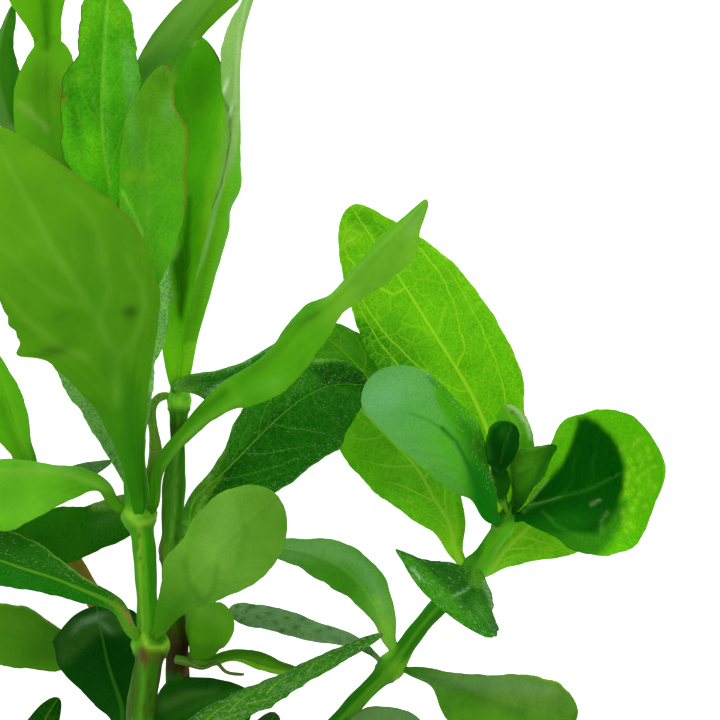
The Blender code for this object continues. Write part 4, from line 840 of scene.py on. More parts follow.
        stroke((120, 176, 100), [(-15.8, -8.1), (-18.2, -12), (-19.4, -16.1), (-20.1, -20.1)], 0.16, 0.14,
            0.6),
        stroke((130, 190, 50), [(-21, -21.2), (-20, -18.1), (-17.2, -14.5)], 0.3, 0.2, 0.6),
        margin((96, 156, 60), "right", 0.3, 0.95, 0.2, 0.6),
        tip=(28, 106, 10), foot=(70, 140, 30), left=(40, 120, 16), rib=0.9, rib_size=0.42, rib_up=0.05,
        vein=0.3, vein_width=0.11, cells=1.8, net=0.08, vein_colour=(110, 184, 36), lean=0.6, blotch=1,
        fibres=0.08, fibre_turn=0.8, hairs=fuzz(4, 0.32, 30, 180, 25, radius=0.013)),
    "main_stem_low_right_leaf": look(
        (84, 156, 18), SOFT,
        stroke((112, 172, 60), [(-21.2, -31.5), (-19.5, -31.2), (-17.2, -32.5)], 1.2, 1, 0.5),
        zone((50, 110, 16), [(-23, -35), (-16, -35.8), (-16, -39), (-23, -39)], 1.6, 0.5),
        foot=(66, 128, 24), rib=0),
    "main_stem_low_narrow_leaf": look(
        (74, 136, 24), SOFT,
        margin((40, 100, 12), "left", 0, 0.95, 0.7, 0.6),
        right=(112, 174, 34), rib=0),
    "main_stem_base_right_leaf": look(
        (20, 78, 8), THICK,
        stroke((64, 116, 40), [(-24.2, -43.2), (-21.2, -41.8), (-18.2, -41.2)], 0.9, 0.6, 0.6),
        stroke((46, 106, 20), [(-23.8, -45), (-20, -43), (-15.5, -41.5)], 0.7, 0.5, 0.5),
        spot((12, 66, 6), -19.5, -40.8, 2.6, 0.6, 0, 0.7),
        rib=0, vein=0, net=0),
    "main_stem_base_far_leaf": look((42, 84, 28), GREY, rib=0.2, foot=(36, 80, 22)),
    "main_stem_base_left_leaf": look((10, 70, 6), THICK, rib=0.2, vein=0),
    "right_stem_low_up_leaf": look(
        (72, 150, 34), GREY,
        zone((112, 166, 98), [(-9.5, -23), (-5, -22.5), (-2, -23), (1.5, -25.8), (3, -28.8), (3.5, -32.5),
            (2.5, -32.2), (1.2, -29), (-1.2, -25.8), (-5, -24.5), (-8.8, -24.5)], 2.4, 0.75),
        stroke((122, 190, 56), [(3.9, -36), (3.1, -32.8), (1.9, -29.5)], 0.7, 0.35, 0.75),
        stroke((84, 156, 40), [(1.9, -29.5), (0.2, -27), (-1.2, -25.2)], 0.3, 0.2, 0.4),
        spot((54, 128, 18), -3, -27, 3.6, 1.2, -25, 0.5),
        tip=(92, 154, 68), foot=(120, 182, 60), foot_end=0.34, roughness=0.5, rib=0.25, rib_size=0.8,
        vein_colour="paling", through=0.3, net=0.05, blotch=0.9, cells=0.6),
    "right_stem_low_left_leaf": look(
        (92, 134, 80), GREY,
        *(spot((40, 98, 26), x, y, 0.42, 0.26, turn, 0.9) for x, y, turn in (
            (-15.6, -32.2, 10), (-7.2, -32.6, 0), (-5.2, -34.2, 10), (-3.8, -33.9, -10), (-11, -30.9, 0),
            (-13, -33.5, 20), (-14.8, -32.6, 40), (-9.8, -33.9, 0), (-14.2, -31.4, 20), (-12.8, -32.2, -30),
            (-13.5, -30.9, 0), (-11.4, -31.8, 10), (-10.6, -33, -20), (-9.2, -32.4, 0), (-12, -33, 20),
            (-8, -33.6, 10), (-15.4, -31, 60), (-6.6, -33.2, -10))),
        foot=(60, 110, 40), roughness=0.6, rib=0, blotch=1, cells=0.9, frost=0.3, fibres=0.15, fine=0.6),
    "right_stem_low_right_leaf": look(
        (92, 142, 52),
        zone((98, 144, 84), [(7, -39.2), (11.2, -39.5), (17.5, -39.5), (22, -40), (25, -41.5),
            (22.5, -41.8), (16.2, -41.2), (10, -41.2)], 1.6, 0.7),
        stroke((56, 112, 26), [(8.8, -40), (12.5, -41.2), (17.5, -43.2), (20, -44)], 0.5, 0.7, 0.5),
        stroke((110, 160, 60), [(17.5, -39.5), (18.5, -41.5), (19.5, -43.2)], 0.1, 0.1, 0.5),
        margin((120, 168, 50), "left", 0.55, 1, 0.3, 0.7),
        margin((120, 168, 50), "right", 0.8, 1, 0.3, 0.7),
        tip=(78, 132, 36), foot=(54, 120, 22), right=(76, 140, 30), rib=0, vein=0, net=0.06, blotch=1.4,
        cells=0.6),
    "right_stem_base_leaf": look((92, 136, 76), GREY, rib=0.15),
    "right_stem_mid_left_leaf": look(
        (94, 184, 24), THIN,
        spot((66, 150, 22), 3.8, -15, 3.4, 1.6, -40, 0.4),
        spot((120, 190, 44), -1, -9.5, 1.2, 1, 0, 0.4),
        margin((56, 140, 14), "right", 0, 0.35, 1, 0.5),
        tip=(92, 180, 24), foot=(118, 190, 26), rib_size=1, blotch=1.2, vein_colour=(146, 206, 54),
        vein=0.7, lean=0.6, fine=0.8, net=0.4, veins=((0.1, 0.3, 0.5, 0.7), (0, 0.2, 0.42, 0.66))),
    "right_stem_mid_right_leaf": look(
        (104, 184, 22), THIN,
        stroke((70, 150, 14), [(16.2, -25.2), (18.8, -23.5), (22.5, -22.5)], 0.5, 0.8, 0.4),
        foot=(130, 198, 40), rib_size=1.4, blotch=1.2, vein_colour=(140, 200, 50)),
    "right_stem_mid_near_leaf": look(
        (26, 96, 8), THICK, HAIRY,
        stroke((120, 176, 100), [(11.6, -29.6), (12.8, -29.1), (13.5, -28.5)], 0.2, 0.16, 0.8),
        zone((84, 150, 26), [(13.2, -28.2), (14.2, -26.2), (15.8, -27.2), (14.8, -28.8)], 0.8, 0.6),
        zone((62, 140, 24), [(4.8, -24.5), (6.5, -27.5), (10, -30.8), (13.2, -33.8), (14.8, -33),
            (11.5, -29.8), (8.8, -27), (6.2, -24.5)], 0.8, 0.75),
        stroke((150, 200, 140), [(6.5, -26.2), (7.5, -27.5)], 0.25, 0.2, 0.6),
        stroke((130, 180, 110), [(15.5, -28), (16.2, -30), (16.8, -31.5)], 0.35, 0.3, 0.5),
        spot((28, 92, 10), 11.2, -27, 4, 1, -35, 0.5),
        spot((66, 150, 24), 15, -31.5, 1.8, 1, 120, 0.6),
        tip=(44, 130, 14), rib=0, fibres=0.1, fibre_turn=1.4, cells=2, vein_colour="pale", vein=0, net=0,
        ragged=2.6, frost=0, blotch=1.2, hairs=fuzz(2.6, 0.5, 90, 26, 9, radius=0.013)),
    "right_stem_mid_far_leaf": look(
        (98, 184, 18), THIN,
        # painted shade: the dark patch by the left margin, where the leaf behind darkens the light through
        # it, widened by the next spot
        zone((38, 134, 14), [(-0.8, 5.2), (0, 1.5), (1.8, -2.2), (5.5, -1), (8, -1), (5.2, 1), (3, 3),
            (1.2, 4.8)], 1.2, 0.85),
        spot((66, 152, 18), 5.2, 1.8, 5, 2.2, 130, 0.65),
        # painted light: a bright patch against the shadow that the top left leaf casts here
        spot((150, 240, 54), 10, -5, 3.4, 1.4, 130, 0.7),
        spot((50, 146, 14), -0.5, 17.2, 1.4, 1, 110, 0.75),
        spot((50, 146, 14), 2.5, 16.2, 1.8, 0.7, 140, 0.6),
        spot((60, 150, 14), 0.8, 17.5, 2, 1, 150, 0.6),
        spot((150, 206, 46), -1.2, 14.8, 0.7, 0.5, 0, 0.8),
        spot((140, 200, 40), -1, 15.8, 1.6, 1.2, 0, 0.45),
        margin((124, 188, 24), "right", 0.1, 0.9, 0.35, 0.6),
        margin((124, 188, 30), "left", 0.7, 1, 0.35, 0.6),
        tip=(104, 180, 18), foot=(114, 190, 18), rib_size=1, vein=0.85, vein_width=0.15,
        veins=((0.12, 0.38, 0.68), (0, 0.42)), lean=1, bend=2, reach=(0.85, 1), rib=1, blotch=0.9,
        cells=1.1, vein_colour=(156, 214, 40), fine=0.8, net=0.42),
    "right_stem_mid_under_leaf": look(
        (60, 140, 18),
        margin((110, 164, 50), "left", 0.4, 1, 0.4, 0.6),
        spot((90, 156, 40), -2, 1.9, 2, 1, -40, 0.4),
        tip=(64, 140, 26), vein=0.4, net=0.3, rib=0.5, rib_size=0.6, cells=0.4),
    "right_stem_top_left_leaf": look(
        # the grey-blue of the blade and tip is partly the leaf's bloom and partly painted sheen
        (90, 170, 60), GREY,
        zone((66, 160, 8), [(9, -1.5), (11.2, -2.8), (14.5, -5.5), (17, -9), (17.9, -13.8), (17.9, -20),
            (16.2, -18.5), (14.8, -15), (13.2, -11.5), (11.5, -8.8), (9.5, -5.5)], 1.4, 0.9),
        stroke((78, 172, 26), [(10.2, -9.5), (12, -12.8), (13.5, -16.2), (14.8, -19)], 0.9, 0.7, 0.75),
        stroke((36, 108, 24), [(8.5, -2.2), (10.8, -4.5), (13, -8), (14.8, -11.2), (16.2, -15)], 0.25, 0.3,
            0.55),
        stroke((28, 100, 20), [(10.5, -4), (12.5, -6.5), (14.2, -9.5), (16, -12.8)], 0.2, 0.25, 0.5),
        stroke((96, 168, 50), [(9.5, -3), (11.8, -5.5), (13.8, -8.8), (15.5, -12.2)], 0.15, 0.2, 0.5),
        zone((70, 162, 14), [(9.2, -2.2), (11.5, -3.5), (13.8, -6.8), (15.5, -10.5), (16, -14.2),
            (14.8, -13.8), (13, -10.8), (11.2, -7.5), (9.5, -4.8)], 0.8, 0.7),
        zone((34, 118, 16), [(12, -7.2), (13.8, -8), (15.5, -10.5), (17, -14.2), (17.6, -19.5),
            (15.8, -18.5), (14.2, -15), (13, -11.2)], 1.6, 0.7),
        zone((16, 122, 8), [(13.2, -12.8), (14.8, -12.8), (16.2, -14.5), (17.5, -17.5), (17.9, -20.2),
            (16.5, -21), (14.8, -19.8), (13.8, -17.5)], 2.2, 1),
        stroke((50, 136, 34), [(6.2, -6.6), (8.5, -7.5), (10.2, -8.5)], 0.14, 0.18, 0.6),
        stroke((24, 112, 16), [(10.2, -8.5), (12, -10.2), (13.5, -13), (14.8, -15.8), (16.8, -19.2)], 0.3,
            0.4, 0.85),
        # partly bloom and partly painted sheen: two pale bluish patches
        spot((112, 178, 122), 3, -4.5, 2.6, 1.6, 20, 0.5),
        spot((100, 170, 90), 6.5, -11.5, 3, 1.2, -50, 0.4),
        margin((92, 182, 34), "left", 0.3, 1, 0.4, 0.8),
        tip=(98, 168, 92), foot=(30, 122, 12), foot_end=0.34, rib=0, rib_size=0.6, rib_up=-0.06,
        vein_colour="fresh", through=0.3, roughness=0.6, gloss=0.03, cells=0.5, blotch=0.5, fine=0.7,
        hairs=fuzz(3, 0.5, -15, 30, 25, left=(1.1, 1.2), right=(0.3, 1), share=(0.05, 0.8), radius=0.02)),
    "right_stem_top_right_leaf": look(
        # painted light: the bright yellow-green of the rim and tip, as lit through from behind
        (98, 192, 16), THICK,
        # painted shade: the darker lower part and the dark inner cup of the cupped blade
        zone((44, 126, 18), [(30, -17.5), (33.5, -17.5), (33, -20), (31.5, -22.8), (29.5, -25), (25, -24.5),
            (20, -22.5), (22.5, -20)], 1.6, 0.9),
        zone((6, 84, 5), [(27.2, -7.2), (28.2, -7), (29.5, -7.5), (31.2, -9), (32.5, -10.8), (33.2, -13.2),
            (33.1, -16), (32.2, -18.5), (31.2, -20.2), (29.5, -21.8), (25, -21.5), (20, -21.5), (19.8, -19),
            (21.2, -17.4), (23.2, -15.1), (25, -12.9), (26, -10.9), (26.6, -9.2)], 1.1, 1),
        # painted light: the bright strip along the inner side, lit through
        zone((92, 186, 18), [(23.5, -10.8), (23.9, -9), (25, -7.4), (27, -7), (26.5, -9.2), (25.9, -10.8),
            (24.9, -12.8), (23.1, -15), (21.1, -17.2), (20.1, -18.5), (19.5, -17.5), (21.2, -15),
            (22.5, -12.8)], 0.5, 1),
        stroke((130, 176, 84), [(20.4, -18.6), (21.2, -17.5), (22.6, -15.8), (23.5, -14.8)], 0.18, 0.12,
            0.8),
        stroke((36, 112, 22), [(20.5, -18.5), (25, -17.1), (28.8, -16.1), (32.8, -14)], 0.35, 0.2, 0.85),
        stroke((96, 150, 60), [(20.8, -18.1), (23.5, -17.5), (25, -17)], 0.14, 0.1, 0.7),
        stroke((150, 190, 130), [(28.9, -18.1), (30, -17.5)], 0.2, 0.16, 0.45),
        stroke((110, 166, 80), [(31, -19.1), (30.2, -20.2), (30.2, -21.4)], 0.24, 0.2, 0.4),
        # painted shade: a dark patch in the lower part
        spot((26, 110, 12), 25, -20.5, 4, 1.6, 10, 0.8),
        stroke((36, 112, 16), [(28.2, -16.2), (29.2, -14.8), (29, -12.8), (29.5, -11)], 0.22, 0.18, 0.35),
        stroke((36, 112, 16), [(25, -17.2), (26.5, -15), (26.6, -12.8), (27.5, -11)], 0.22, 0.18, 0.35),
        stroke((60, 136, 30), [(22.8, -19), (24.5, -20.8), (26.8, -21.8), (29, -23.2)], 0.22, 0.18, 0.5),
        stroke((60, 150, 16), [(33, -14), (34.5, -13), (37, -12.5)], 0.2, 0.15, 0.5),
        stroke((70, 160, 16), [(33.8, -14.8), (35.2, -16.5), (35.8, -18.5)], 0.15, 0.12, 0.3),
        spot((10, 40, 6), 31.6, -14.2, 0.2, 0.4, 10, 0.8),
        spot((118, 196, 30), 25, -9, 1.6, 0.7, 60, 0.4),
        *(spot((158, 216, 40), x, y, long, 0.36, turn, 0.5) for x, y, long, turn in (
            (35, -12, 0.5, 70), (36.4, -12.2, 0.5, 80), (34.2, -13.6, 0.6, 90), (36.2, -13.9, 0.5, 70),
            (33.4, -15.6, 0.5, 90), (34.2, -16.2, 0.5, 80), (36.9, -15.9, 0.5, 90), (35.6, -14.2, 0.4, 90),
            (33, -19.2, 0.6, 100), (33.8, -20.4, 0.5, 100), (34.7, -17.6, 0.5, 90), (33.3, -21.4, 0.4, 90),
            (34.9, -9.9, 0.4, 60), (32.9, -10.9, 0.5, 30), (34.4, -10.4, 0.7, 60), (36.1, -11.1, 0.5, 90),
            (33.7, -12.6, 0.6, 80), (35.4, -12.9, 0.5, 60), (36.9, -13.3, 0.4, 90), (33.6, -14.4, 0.7, 95),
            (34.9, -14.9, 0.5, 90), (36.3, -15.2, 0.6, 80), (33.5, -16.6, 0.6, 100), (35.2, -16.9, 0.5, 70),
            (34.2, -18.6, 0.6, 110), (33.1, -20.3, 0.5, 110), (35.8, -18.3, 0.4, 90),
            (34.3, -20.9, 0.4, 90))),
        through=0.3, foot=(10, 84, 6), rib=0, vein=0, net=0, blotch=0.7, cells=0.8, fine=0.4),
    "bud_left_leaf": look(
        (22, 88, 8), SOFT,
        stroke((128, 190, 50), [(16, -13.2), (16.8, -15), (17.4, -18)], 0.2, 0.15, 0.9),
        rib=0),
    "bud_dark_leaf": look(
        (4, 62, 3), THICK,
        stroke((30, 98, 20), [(18.9, -8.5), (18.1, -10.6), (17.6, -12.8)], 0.15, 0.12, 0.7),
        stroke((24, 104, 10), [(16.1, -12.2), (15.8, -10.2), (16.2, -8.5), (18, -7.5), (19.5, -8)], 0.3,
            0.25, 0.7),
        spot((30, 110, 14), 17.8, -9, 0.9, 0.5, 70, 0.4),
        foot=(10, 76, 6), rib=0, rib_size=0.5, vein=0, net=0, cells=0.3, rib_up=-0.05),
    "bud_back_leaf": look(
        (84, 172, 28), GREY,
        zone((98, 180, 34), [(18.2, -5.8), (19.2, -6.5), (20.2, -8), (20.5, -9.8), (19.8, -10.5),
            (19.5, -8.8), (18.5, -7)], 0.5, 0.85),
        stroke((132, 200, 70), [(18.2, -6), (19.1, -7.5), (20.2, -9.2)], 0.14, 0.12, 0.7),
        stroke((176, 206, 160), [(18.6, -5.6), (19.9, -6.5), (20.9, -7.9), (21.4, -9.8)], 0.3, 0.22, 0.8),
        spot((100, 70, 40), 19.1, -6.5, 0.25, 0.2, 0, 0.9),
        foot=(50, 124, 20), rib=0, through=0.35, fine=0.6),
    "bud_front_leaf": look(
        (58, 132, 14), SOFT,
        spot((76, 148, 32), 20.5, -12.8, 1.6, 1.2, 30, 0.5),
        stroke((24, 96, 8), [(21.5, -16.2), (22.9, -13.2), (24, -11)], 0.7, 0.4, 0.8),
        stroke((96, 160, 50), [(19.8, -11.5), (21.2, -11.2), (23.2, -10.8)], 0.2, 0.15, 0.5),
        stroke((30, 100, 10), [(19, -13.5), (20, -14.5), (21, -13.8)], 0.4, 0.3, 0.4),
        margin((90, 156, 50), "left", 0.3, 0.95, 0.25, 0.5),
        tip=(36, 104, 10), foot=(14, 80, 6), foot_end=0.5, rib=0, cells=0.8, fine=0.7),
    "left_stem_upper_leaf": look(
        (80, 128, 66), GREY, HAIRY, rib=0, hairs=fuzz(6, 0.4, 0, 90, 30, radius=0.014)),
    "left_stem_end_leaf": look(
        (90, 172, 24), SOFT,
        stroke((112, 184, 36), [(-45, -1.2), (-43.2, -6.2), (-42, -11.2)], 0.4, 0.4, 0.5),
        stroke((56, 132, 14), [(-45, -5), (-43.8, -8.8), (-42.2, -12)], 0.5, 0.5, 0.4),
        through=0.4, rib=0.15),
    "left_stem_low_leaf": look(
        (70, 132, 22), SOFT,
        margin((112, 168, 60), "right", 0.2, 0.9, 0.4, 0.5),
        spot((84, 140, 26), -43.2, -32.5, 3, 1.2, -10, 0.5),
        spot((44, 100, 14), -39.5, -36.5, 2.4, 1.4, 0, 0.4),
        through=0.3, rib=0),
    "side_shoot_left_leaf": look(
        (50, 118, 16), SOFT,
        stroke((36, 100, 12), [(-43.5, 30), (-43.2, 35), (-43.5, 40)], 0.5, 0.4, 0.5),
        left=(84, 134, 56), slot="leaf_grey", rib=0),
    "side_shoot_end_leaf": look(
        (104, 184, 26), SOFT,
        stroke((44, 124, 12), [(-39.1, 39), (-39.1, 41.2), (-39.2, 45)], 0.6, 0.8, 0.7),
        tip=(104, 186, 26), rib=0),
    "side_shoot_near_leaf": look(
        (84, 156, 20), SOFT,
        spot((44, 112, 12), -40, 34.2, 3.6, 1.6, 90, 0.5),
        stroke((90, 90, 34), [(-37.8, 35.2), (-37.6, 31.5)], 0.5, 0.4, 0.3),
        stroke((128, 170, 74), [(-42.5, 32), (-40.8, 30.5), (-39, 28.8)], 0.5, 0.4, 0.55),
        zone((98, 172, 20), [(-41.5, 40.8), (-36.2, 40.8), (-36.5, 38.5), (-38.5, 37.5), (-41.2, 38.2)], 2,
            0.8),
        stroke((44, 122, 12), [(-39.1, 40.8), (-39.1, 39.9), (-39.2, 39)], 0.7, 0.5, 0.7),
        tip=(104, 176, 26), foot=(54, 122, 14), foot_end=0.5, rib=0, blotch=0.8),
}


def add_node(tree, kind, inputs=None, **settings):
    """A shader node with its settings, and its inputs set or linked by their name or number."""
    made = tree.nodes.new("ShaderNode" + kind)
    for key, value in settings.items():
        setattr(made, key, value)
    for key, value in (inputs or {}).items():
        if isinstance(value, bpy.types.NodeSocket):
            tree.links.new(value, made.inputs[key])
        else:
            made.inputs[key].default_value = value
    return made


def sums(tree, operation, a, b=0.0, c=0.0):
    return add_node(tree, "Math", {0: a, 1: b, 2: c}, operation=operation).outputs[0]


def maths(tree):
    """The four sums that a skin uses most: to scale and add, to multiply, to add and to take away."""
    return [partial(sums, tree, kind) for kind in ("MULTIPLY_ADD", "MULTIPLY", "ADD", "SUBTRACT")]


def fall(tree, value, near, far, high=1.0, low=0.0):
    """high where the value is under near, low where it is over far, with a smooth step between."""
    limits = {"Value": value, "From Min": near, "From Max": far, "To Min": high, "To Max": low}
    return add_node(tree, "MapRange", limits, interpolation_type="SMOOTHSTEP").outputs[0]


def blend_colours(tree, factor, first, second, kind="MIX"):
    made = add_node(tree, "Mix", {0: factor, 6: first, 7: second}, data_type="RGBA", blend_type=kind)
    return made.outputs[2]


def map_values(tree, name):
    """The two values that a UV map holds."""
    source = add_node(tree, "UVMap", uv_map=name)
    split = add_node(tree, "SeparateXYZ", {0: source.outputs[0]})
    return split.outputs[0], split.outputs[1]


def noise_at(tree, vector, scale, detail=2.0):
    return add_node(tree, "TexNoise", {"Vector": vector, "Scale": scale, "Detail": detail}).outputs[0]


def new_group(name, inputs, outputs):
    """A shader node group with float or colour sockets, and its inputs by name."""
    tree = bpy.data.node_groups.new(name, "ShaderNodeTree")
    for socket, value in inputs.items():
        kind = "NodeSocketColor" if isinstance(value, tuple) else "NodeSocketFloat"
        made = tree.interface.new_socket(socket, in_out="INPUT", socket_type=kind)
        made.default_value = value
    for socket, kind in outputs.items():
        tree.interface.new_socket(socket, in_out="OUTPUT", socket_type=kind)
    entry = tree.nodes.new("NodeGroupInput")
    return tree, entry.outputs


def close_group(tree, results):
    end = tree.nodes.new("NodeGroupOutput")
    for name, socket in results.items():
        tree.links.new(socket, end.inputs[name])


def leaf_skin_group():
    """Veins, net, cells and blotches of a leaf, from its three maps.

    The blade map has the way across and along in centimetres, the veins map has the side veins' count
    and their distance apart in millimetres, and the rib map has the distance from the midrib in its
    half-widths and from the margin in millimetres.
    """
    tree, given = new_group(
        "leaf_skin",
        {"Skin": (0.1, 0.4, 0.02, 1.0), "Vein Colour": (0.3, 0.5, 0.02, 1.0), "Rib": 0.8, "Vein": 0.6,
         "Vein Width": 0.2, "Net": 0.3, "Blotch": 0.3, "Cells": 0.2, "Frost": 0.0, "Fibres": 0.0,
         "Fibre Turn": 0.0, "Roughness": 0.45, "Seed": 0.0},
        {"Colour": "NodeSocketColor", "Through": "NodeSocketColor", "Roughness": "NodeSocketFloat",
         "Height": "NodeSocketFloat"})
    scale_add, times, plus, minus = maths(tree)
    across, along = map_values(tree, "blade")
    count, apart = map_values(tree, "veins")
    from_rib, from_margin = map_values(tree, "rib")
    place = add_node(tree, "CombineXYZ", {0: across, 1: along, 2: given["Seed"]}).outputs[0]

    # A net of small veins: a wide one and a fine one, bent by the noises
    blotch = noise_at(tree, place, BLOTCH_SCALE, 3.0)
    cells = noise_at(tree, place, CELL_SCALE, 2.0)
    warp = noise_at(tree, place, WARP_SCALE, 2.0)
    bent = add_node(tree, "CombineXYZ", {
        0: scale_add(warp, 0.16, across), 1: scale_add(blotch, 0.2, along), 2: given["Seed"]}).outputs[0]
    wide_net, fine_net = (
        add_node(tree, "TexVoronoi", {"Vector": bent, "Scale": scale}, feature="DISTANCE_TO_EDGE")
        for scale in NET_SCALES)
    wide_lines = fall(tree, wide_net.outputs[0], 0.01, 0.04)
    fine_lines = fall(tree, fine_net.outputs[0], 0.01, 0.1, 0.6)
    net = sums(tree, "MAXIMUM", wide_lines, fine_lines)
    net = times(net, given["Net"])

    # Side veins, thinner towards the margin, and the midrib
    wander = minus(noise_at(tree, place, VEIN_WANDER_SCALE, 3.0), 0.5)
    turned = scale_add(wander, 0.2, count)
    part = minus(sums(tree, "FRACT", plus(turned, 0.5)), 0.5)
    distance = times(sums(tree, "ABSOLUTE", part), apart)
    thin = times(given["Vein Width"], fall(tree, from_margin, 0.0, 3.0, 0.5, 1.0))
    line = fall(tree, sums(tree, "DIVIDE", distance, thin), 0.35, 1.0)
    line = times(line, fall(tree, from_margin, 0.3, 1.4, 0.0, 1.0))
    veins = times(line, given["Vein"])
    rib = times(fall(tree, from_rib, 0.45, 1.0), given["Rib"])
    pale = sums(tree, "MAXIMUM", sums(tree, "MAXIMUM", veins, rib), net)

    # The skin's blotches and cells, and yellower where it is lighter
    mottle = scale_add(noise_at(tree, place, MOTTLE_SCALE, 3.0), 0.3, blotch)
    uneven = times(minus(mottle, 0.65), times(given["Blotch"], 0.5))
    specks = times(minus(cells, 0.5), given["Cells"])
    bright = plus(plus(uneven, specks), 1.0)
    yellowed = scale_add(uneven, 0.8, bright)
    shade = add_node(tree, "CombineColor", {0: yellowed, 1: bright, 2: bright}).outputs[0]
    toned = blend_colours(tree, 1.0, given["Skin"], shade, "MULTIPLY")

    # Fine hairs pressed flat, combed away from the midrib, with furrows between them and hoar over them
    aside = sums(tree, "ABSOLUTE", across)
    cosine = sums(tree, "COSINE", given["Fibre Turn"])
    sine = sums(tree, "SINE", given["Fibre Turn"])
    level = minus(times(along, cosine), times(aside, sine))
    offset = plus(times(aside, cosine), times(along, sine))
    combed = add_node(tree, "CombineXYZ", {
        0: times(offset, STRAND_STRETCH), 1: level, 2: given["Seed"]}).outputs[0]
    strand = noise_at(tree, combed, STRAND_SCALE, 3.0)
    strands = times(fall(tree, strand, 0.56, 0.66, 0.0, 1.0), given["Fibres"])
    furrows = times(fall(tree, strand, 0.36, 0.46), given["Fibres"])
    hoar = fall(tree, noise_at(tree, combed, HOAR_SCALE, 3.0), 0.42, 0.64, 0.0, 1.0)
    hoar = times(hoar, given["Frost"])
    frosted = blend_colours(tree, hoar, toned, opaque("frost"))
    furrowed = blend_colours(tree, times(furrows, 0.6), frosted, opaque("deep"))
    combed_skin = blend_colours(tree, times(strands, 0.5), furrowed, opaque("hair"))
    colour = blend_colours(tree, pale, combed_skin, given["Vein Colour"])

    # The light that comes through is yellower, and knows no hairs
    clear = blend_colours(tree, pale, toned, given["Vein Colour"])
    lit = add_node(tree, "Gamma", {0: clear, 1: THROUGH_GAMMA}).outputs[0]
    through = blend_colours(tree, 1.0, lit, THROUGH_TINT, "MULTIPLY")

    rough = scale_add(minus(blotch, 0.5), 0.3, given["Roughness"])
    height = scale_add(cells, 0.25, times(pale, 0.8))
    height = plus(height, times(blotch, 0.9))
    height = plus(height, times(strands, 0.6))
    close_group(tree, {"Colour": colour, "Through": through, "Roughness": rough, "Height": height})
    return tree


def stem_skin_group():
    """Ribs, streaks and brown flecks of a stem, from its map of the way round and along, in centimetres."""
    tree, given = new_group(
        "stem_skin",
        {"Skin": (0.1, 0.3, 0.02, 1.0), "Fleck Colour": (0.05, 0.02, 0.01, 1.0), "Streaks": 0.3,
         "Flecks": 0.4, "Seed": 0.0},
        {"Colour": "NodeSocketColor", "Roughness": "NodeSocketFloat", "Height": "NodeSocketFloat"})
    scale_add, times, plus, minus = maths(tree)
    around, along = map_values(tree, "bark")
    aged, _ = map_values(tree, "age")
    drawn = times(along, 0.12)
    lengthwise = add_node(tree, "CombineXYZ", {0: around, 1: drawn, 2: given["Seed"]}).outputs[0]
    place = add_node(tree, "CombineXYZ", {
        0: around, 1: times(along, 0.4), 2: given["Seed"]}).outputs[0]
    fibres = noise_at(tree, lengthwise, FIBRE_SCALE, 3.0)
    bands = noise_at(tree, lengthwise, BAND_SCALE, 2.0)
    spots = noise_at(tree, place, FLECK_SCALE, 2.0)
    streak = plus(times(minus(fibres, 0.5), 0.7), minus(bands, 0.5))
    bright = scale_add(streak, given["Streaks"], 1.0)
    grey = add_node(tree, "CombineColor", {0: bright, 1: bright, 2: bright}).outputs[0]
    toned = blend_colours(tree, 1.0, given["Skin"], grey, "MULTIPLY")
    fleck = times(fall(tree, spots, 0.56, 0.68, 0.0, 1.0), fall(tree, bands, 0.4, 0.56, 0.0, 1.0))
    fleck = times(fleck, times(aged, given["Flecks"]))
    colour = blend_colours(tree, fleck, toned, given["Fleck Colour"])
    rough = fall(tree, spots, 0.3, 0.7, 0.42, 0.6)
    height = plus(fibres, times(fleck, -0.5))
    close_group(tree, {"Colour": colour, "Roughness": rough, "Height": height})
    return tree


LEAF_SKIN = leaf_skin_group()
STEM_SKIN = stem_skin_group()


def new_material(name):
    """A node material without its shaders, and the place where its surface goes."""
    made = bpy.data.materials.new(name)
    made.use_nodes = True
    tree = made.node_tree
    tree.nodes.remove(tree.nodes["Principled BSDF"])
    return made, tree, tree.nodes["Material Output"].inputs["Surface"]


def leaf_material(name, made):
    """A leaf's skin, which gives back some light and lets some through."""
    material, tree, surface = new_material(name)
    skin = add_node(tree, "Attribute", attribute_name="skin").outputs["Color"]
    group = add_node(tree, "Group", node_tree=LEAF_SKIN)
    tree.links.new(skin, group.inputs["Skin"])
    group.inputs["Vein Colour"].default_value = opaque(made["vein_colour"])
    for socket in ("Rib", "Vein", "Vein Width", "Net", "Blotch", "Cells", "Frost", "Fibres", "Fibre Turn",
                   "Roughness"):
        group.inputs[socket].default_value = made[socket.lower().replace(" ", "_")]
    group.inputs["Seed"].default_value = draws(name).uniform(0, 40)
    bump = add_node(tree, "Bump", {"Height": group.outputs["Height"], "Strength": BUMP_STRENGTH,
                                  "Distance": LEAF_BUMP})
    solid = add_node(tree, "BsdfPrincipled", {
        "Base Color": group.outputs["Colour"], "Roughness": group.outputs["Roughness"],
        "Specular IOR Level": made["gloss"], "Normal": bump.outputs[0]})
    glow = add_node(tree, "BsdfTranslucent", {"Color": group.outputs["Through"], "Normal": bump.outputs[0]})
    both = add_node(tree, "MixShader", {0: made["through"], 1: solid.outputs[0], 2: glow.outputs[0]})
    tree.links.new(both.outputs[0], surface)
    return material


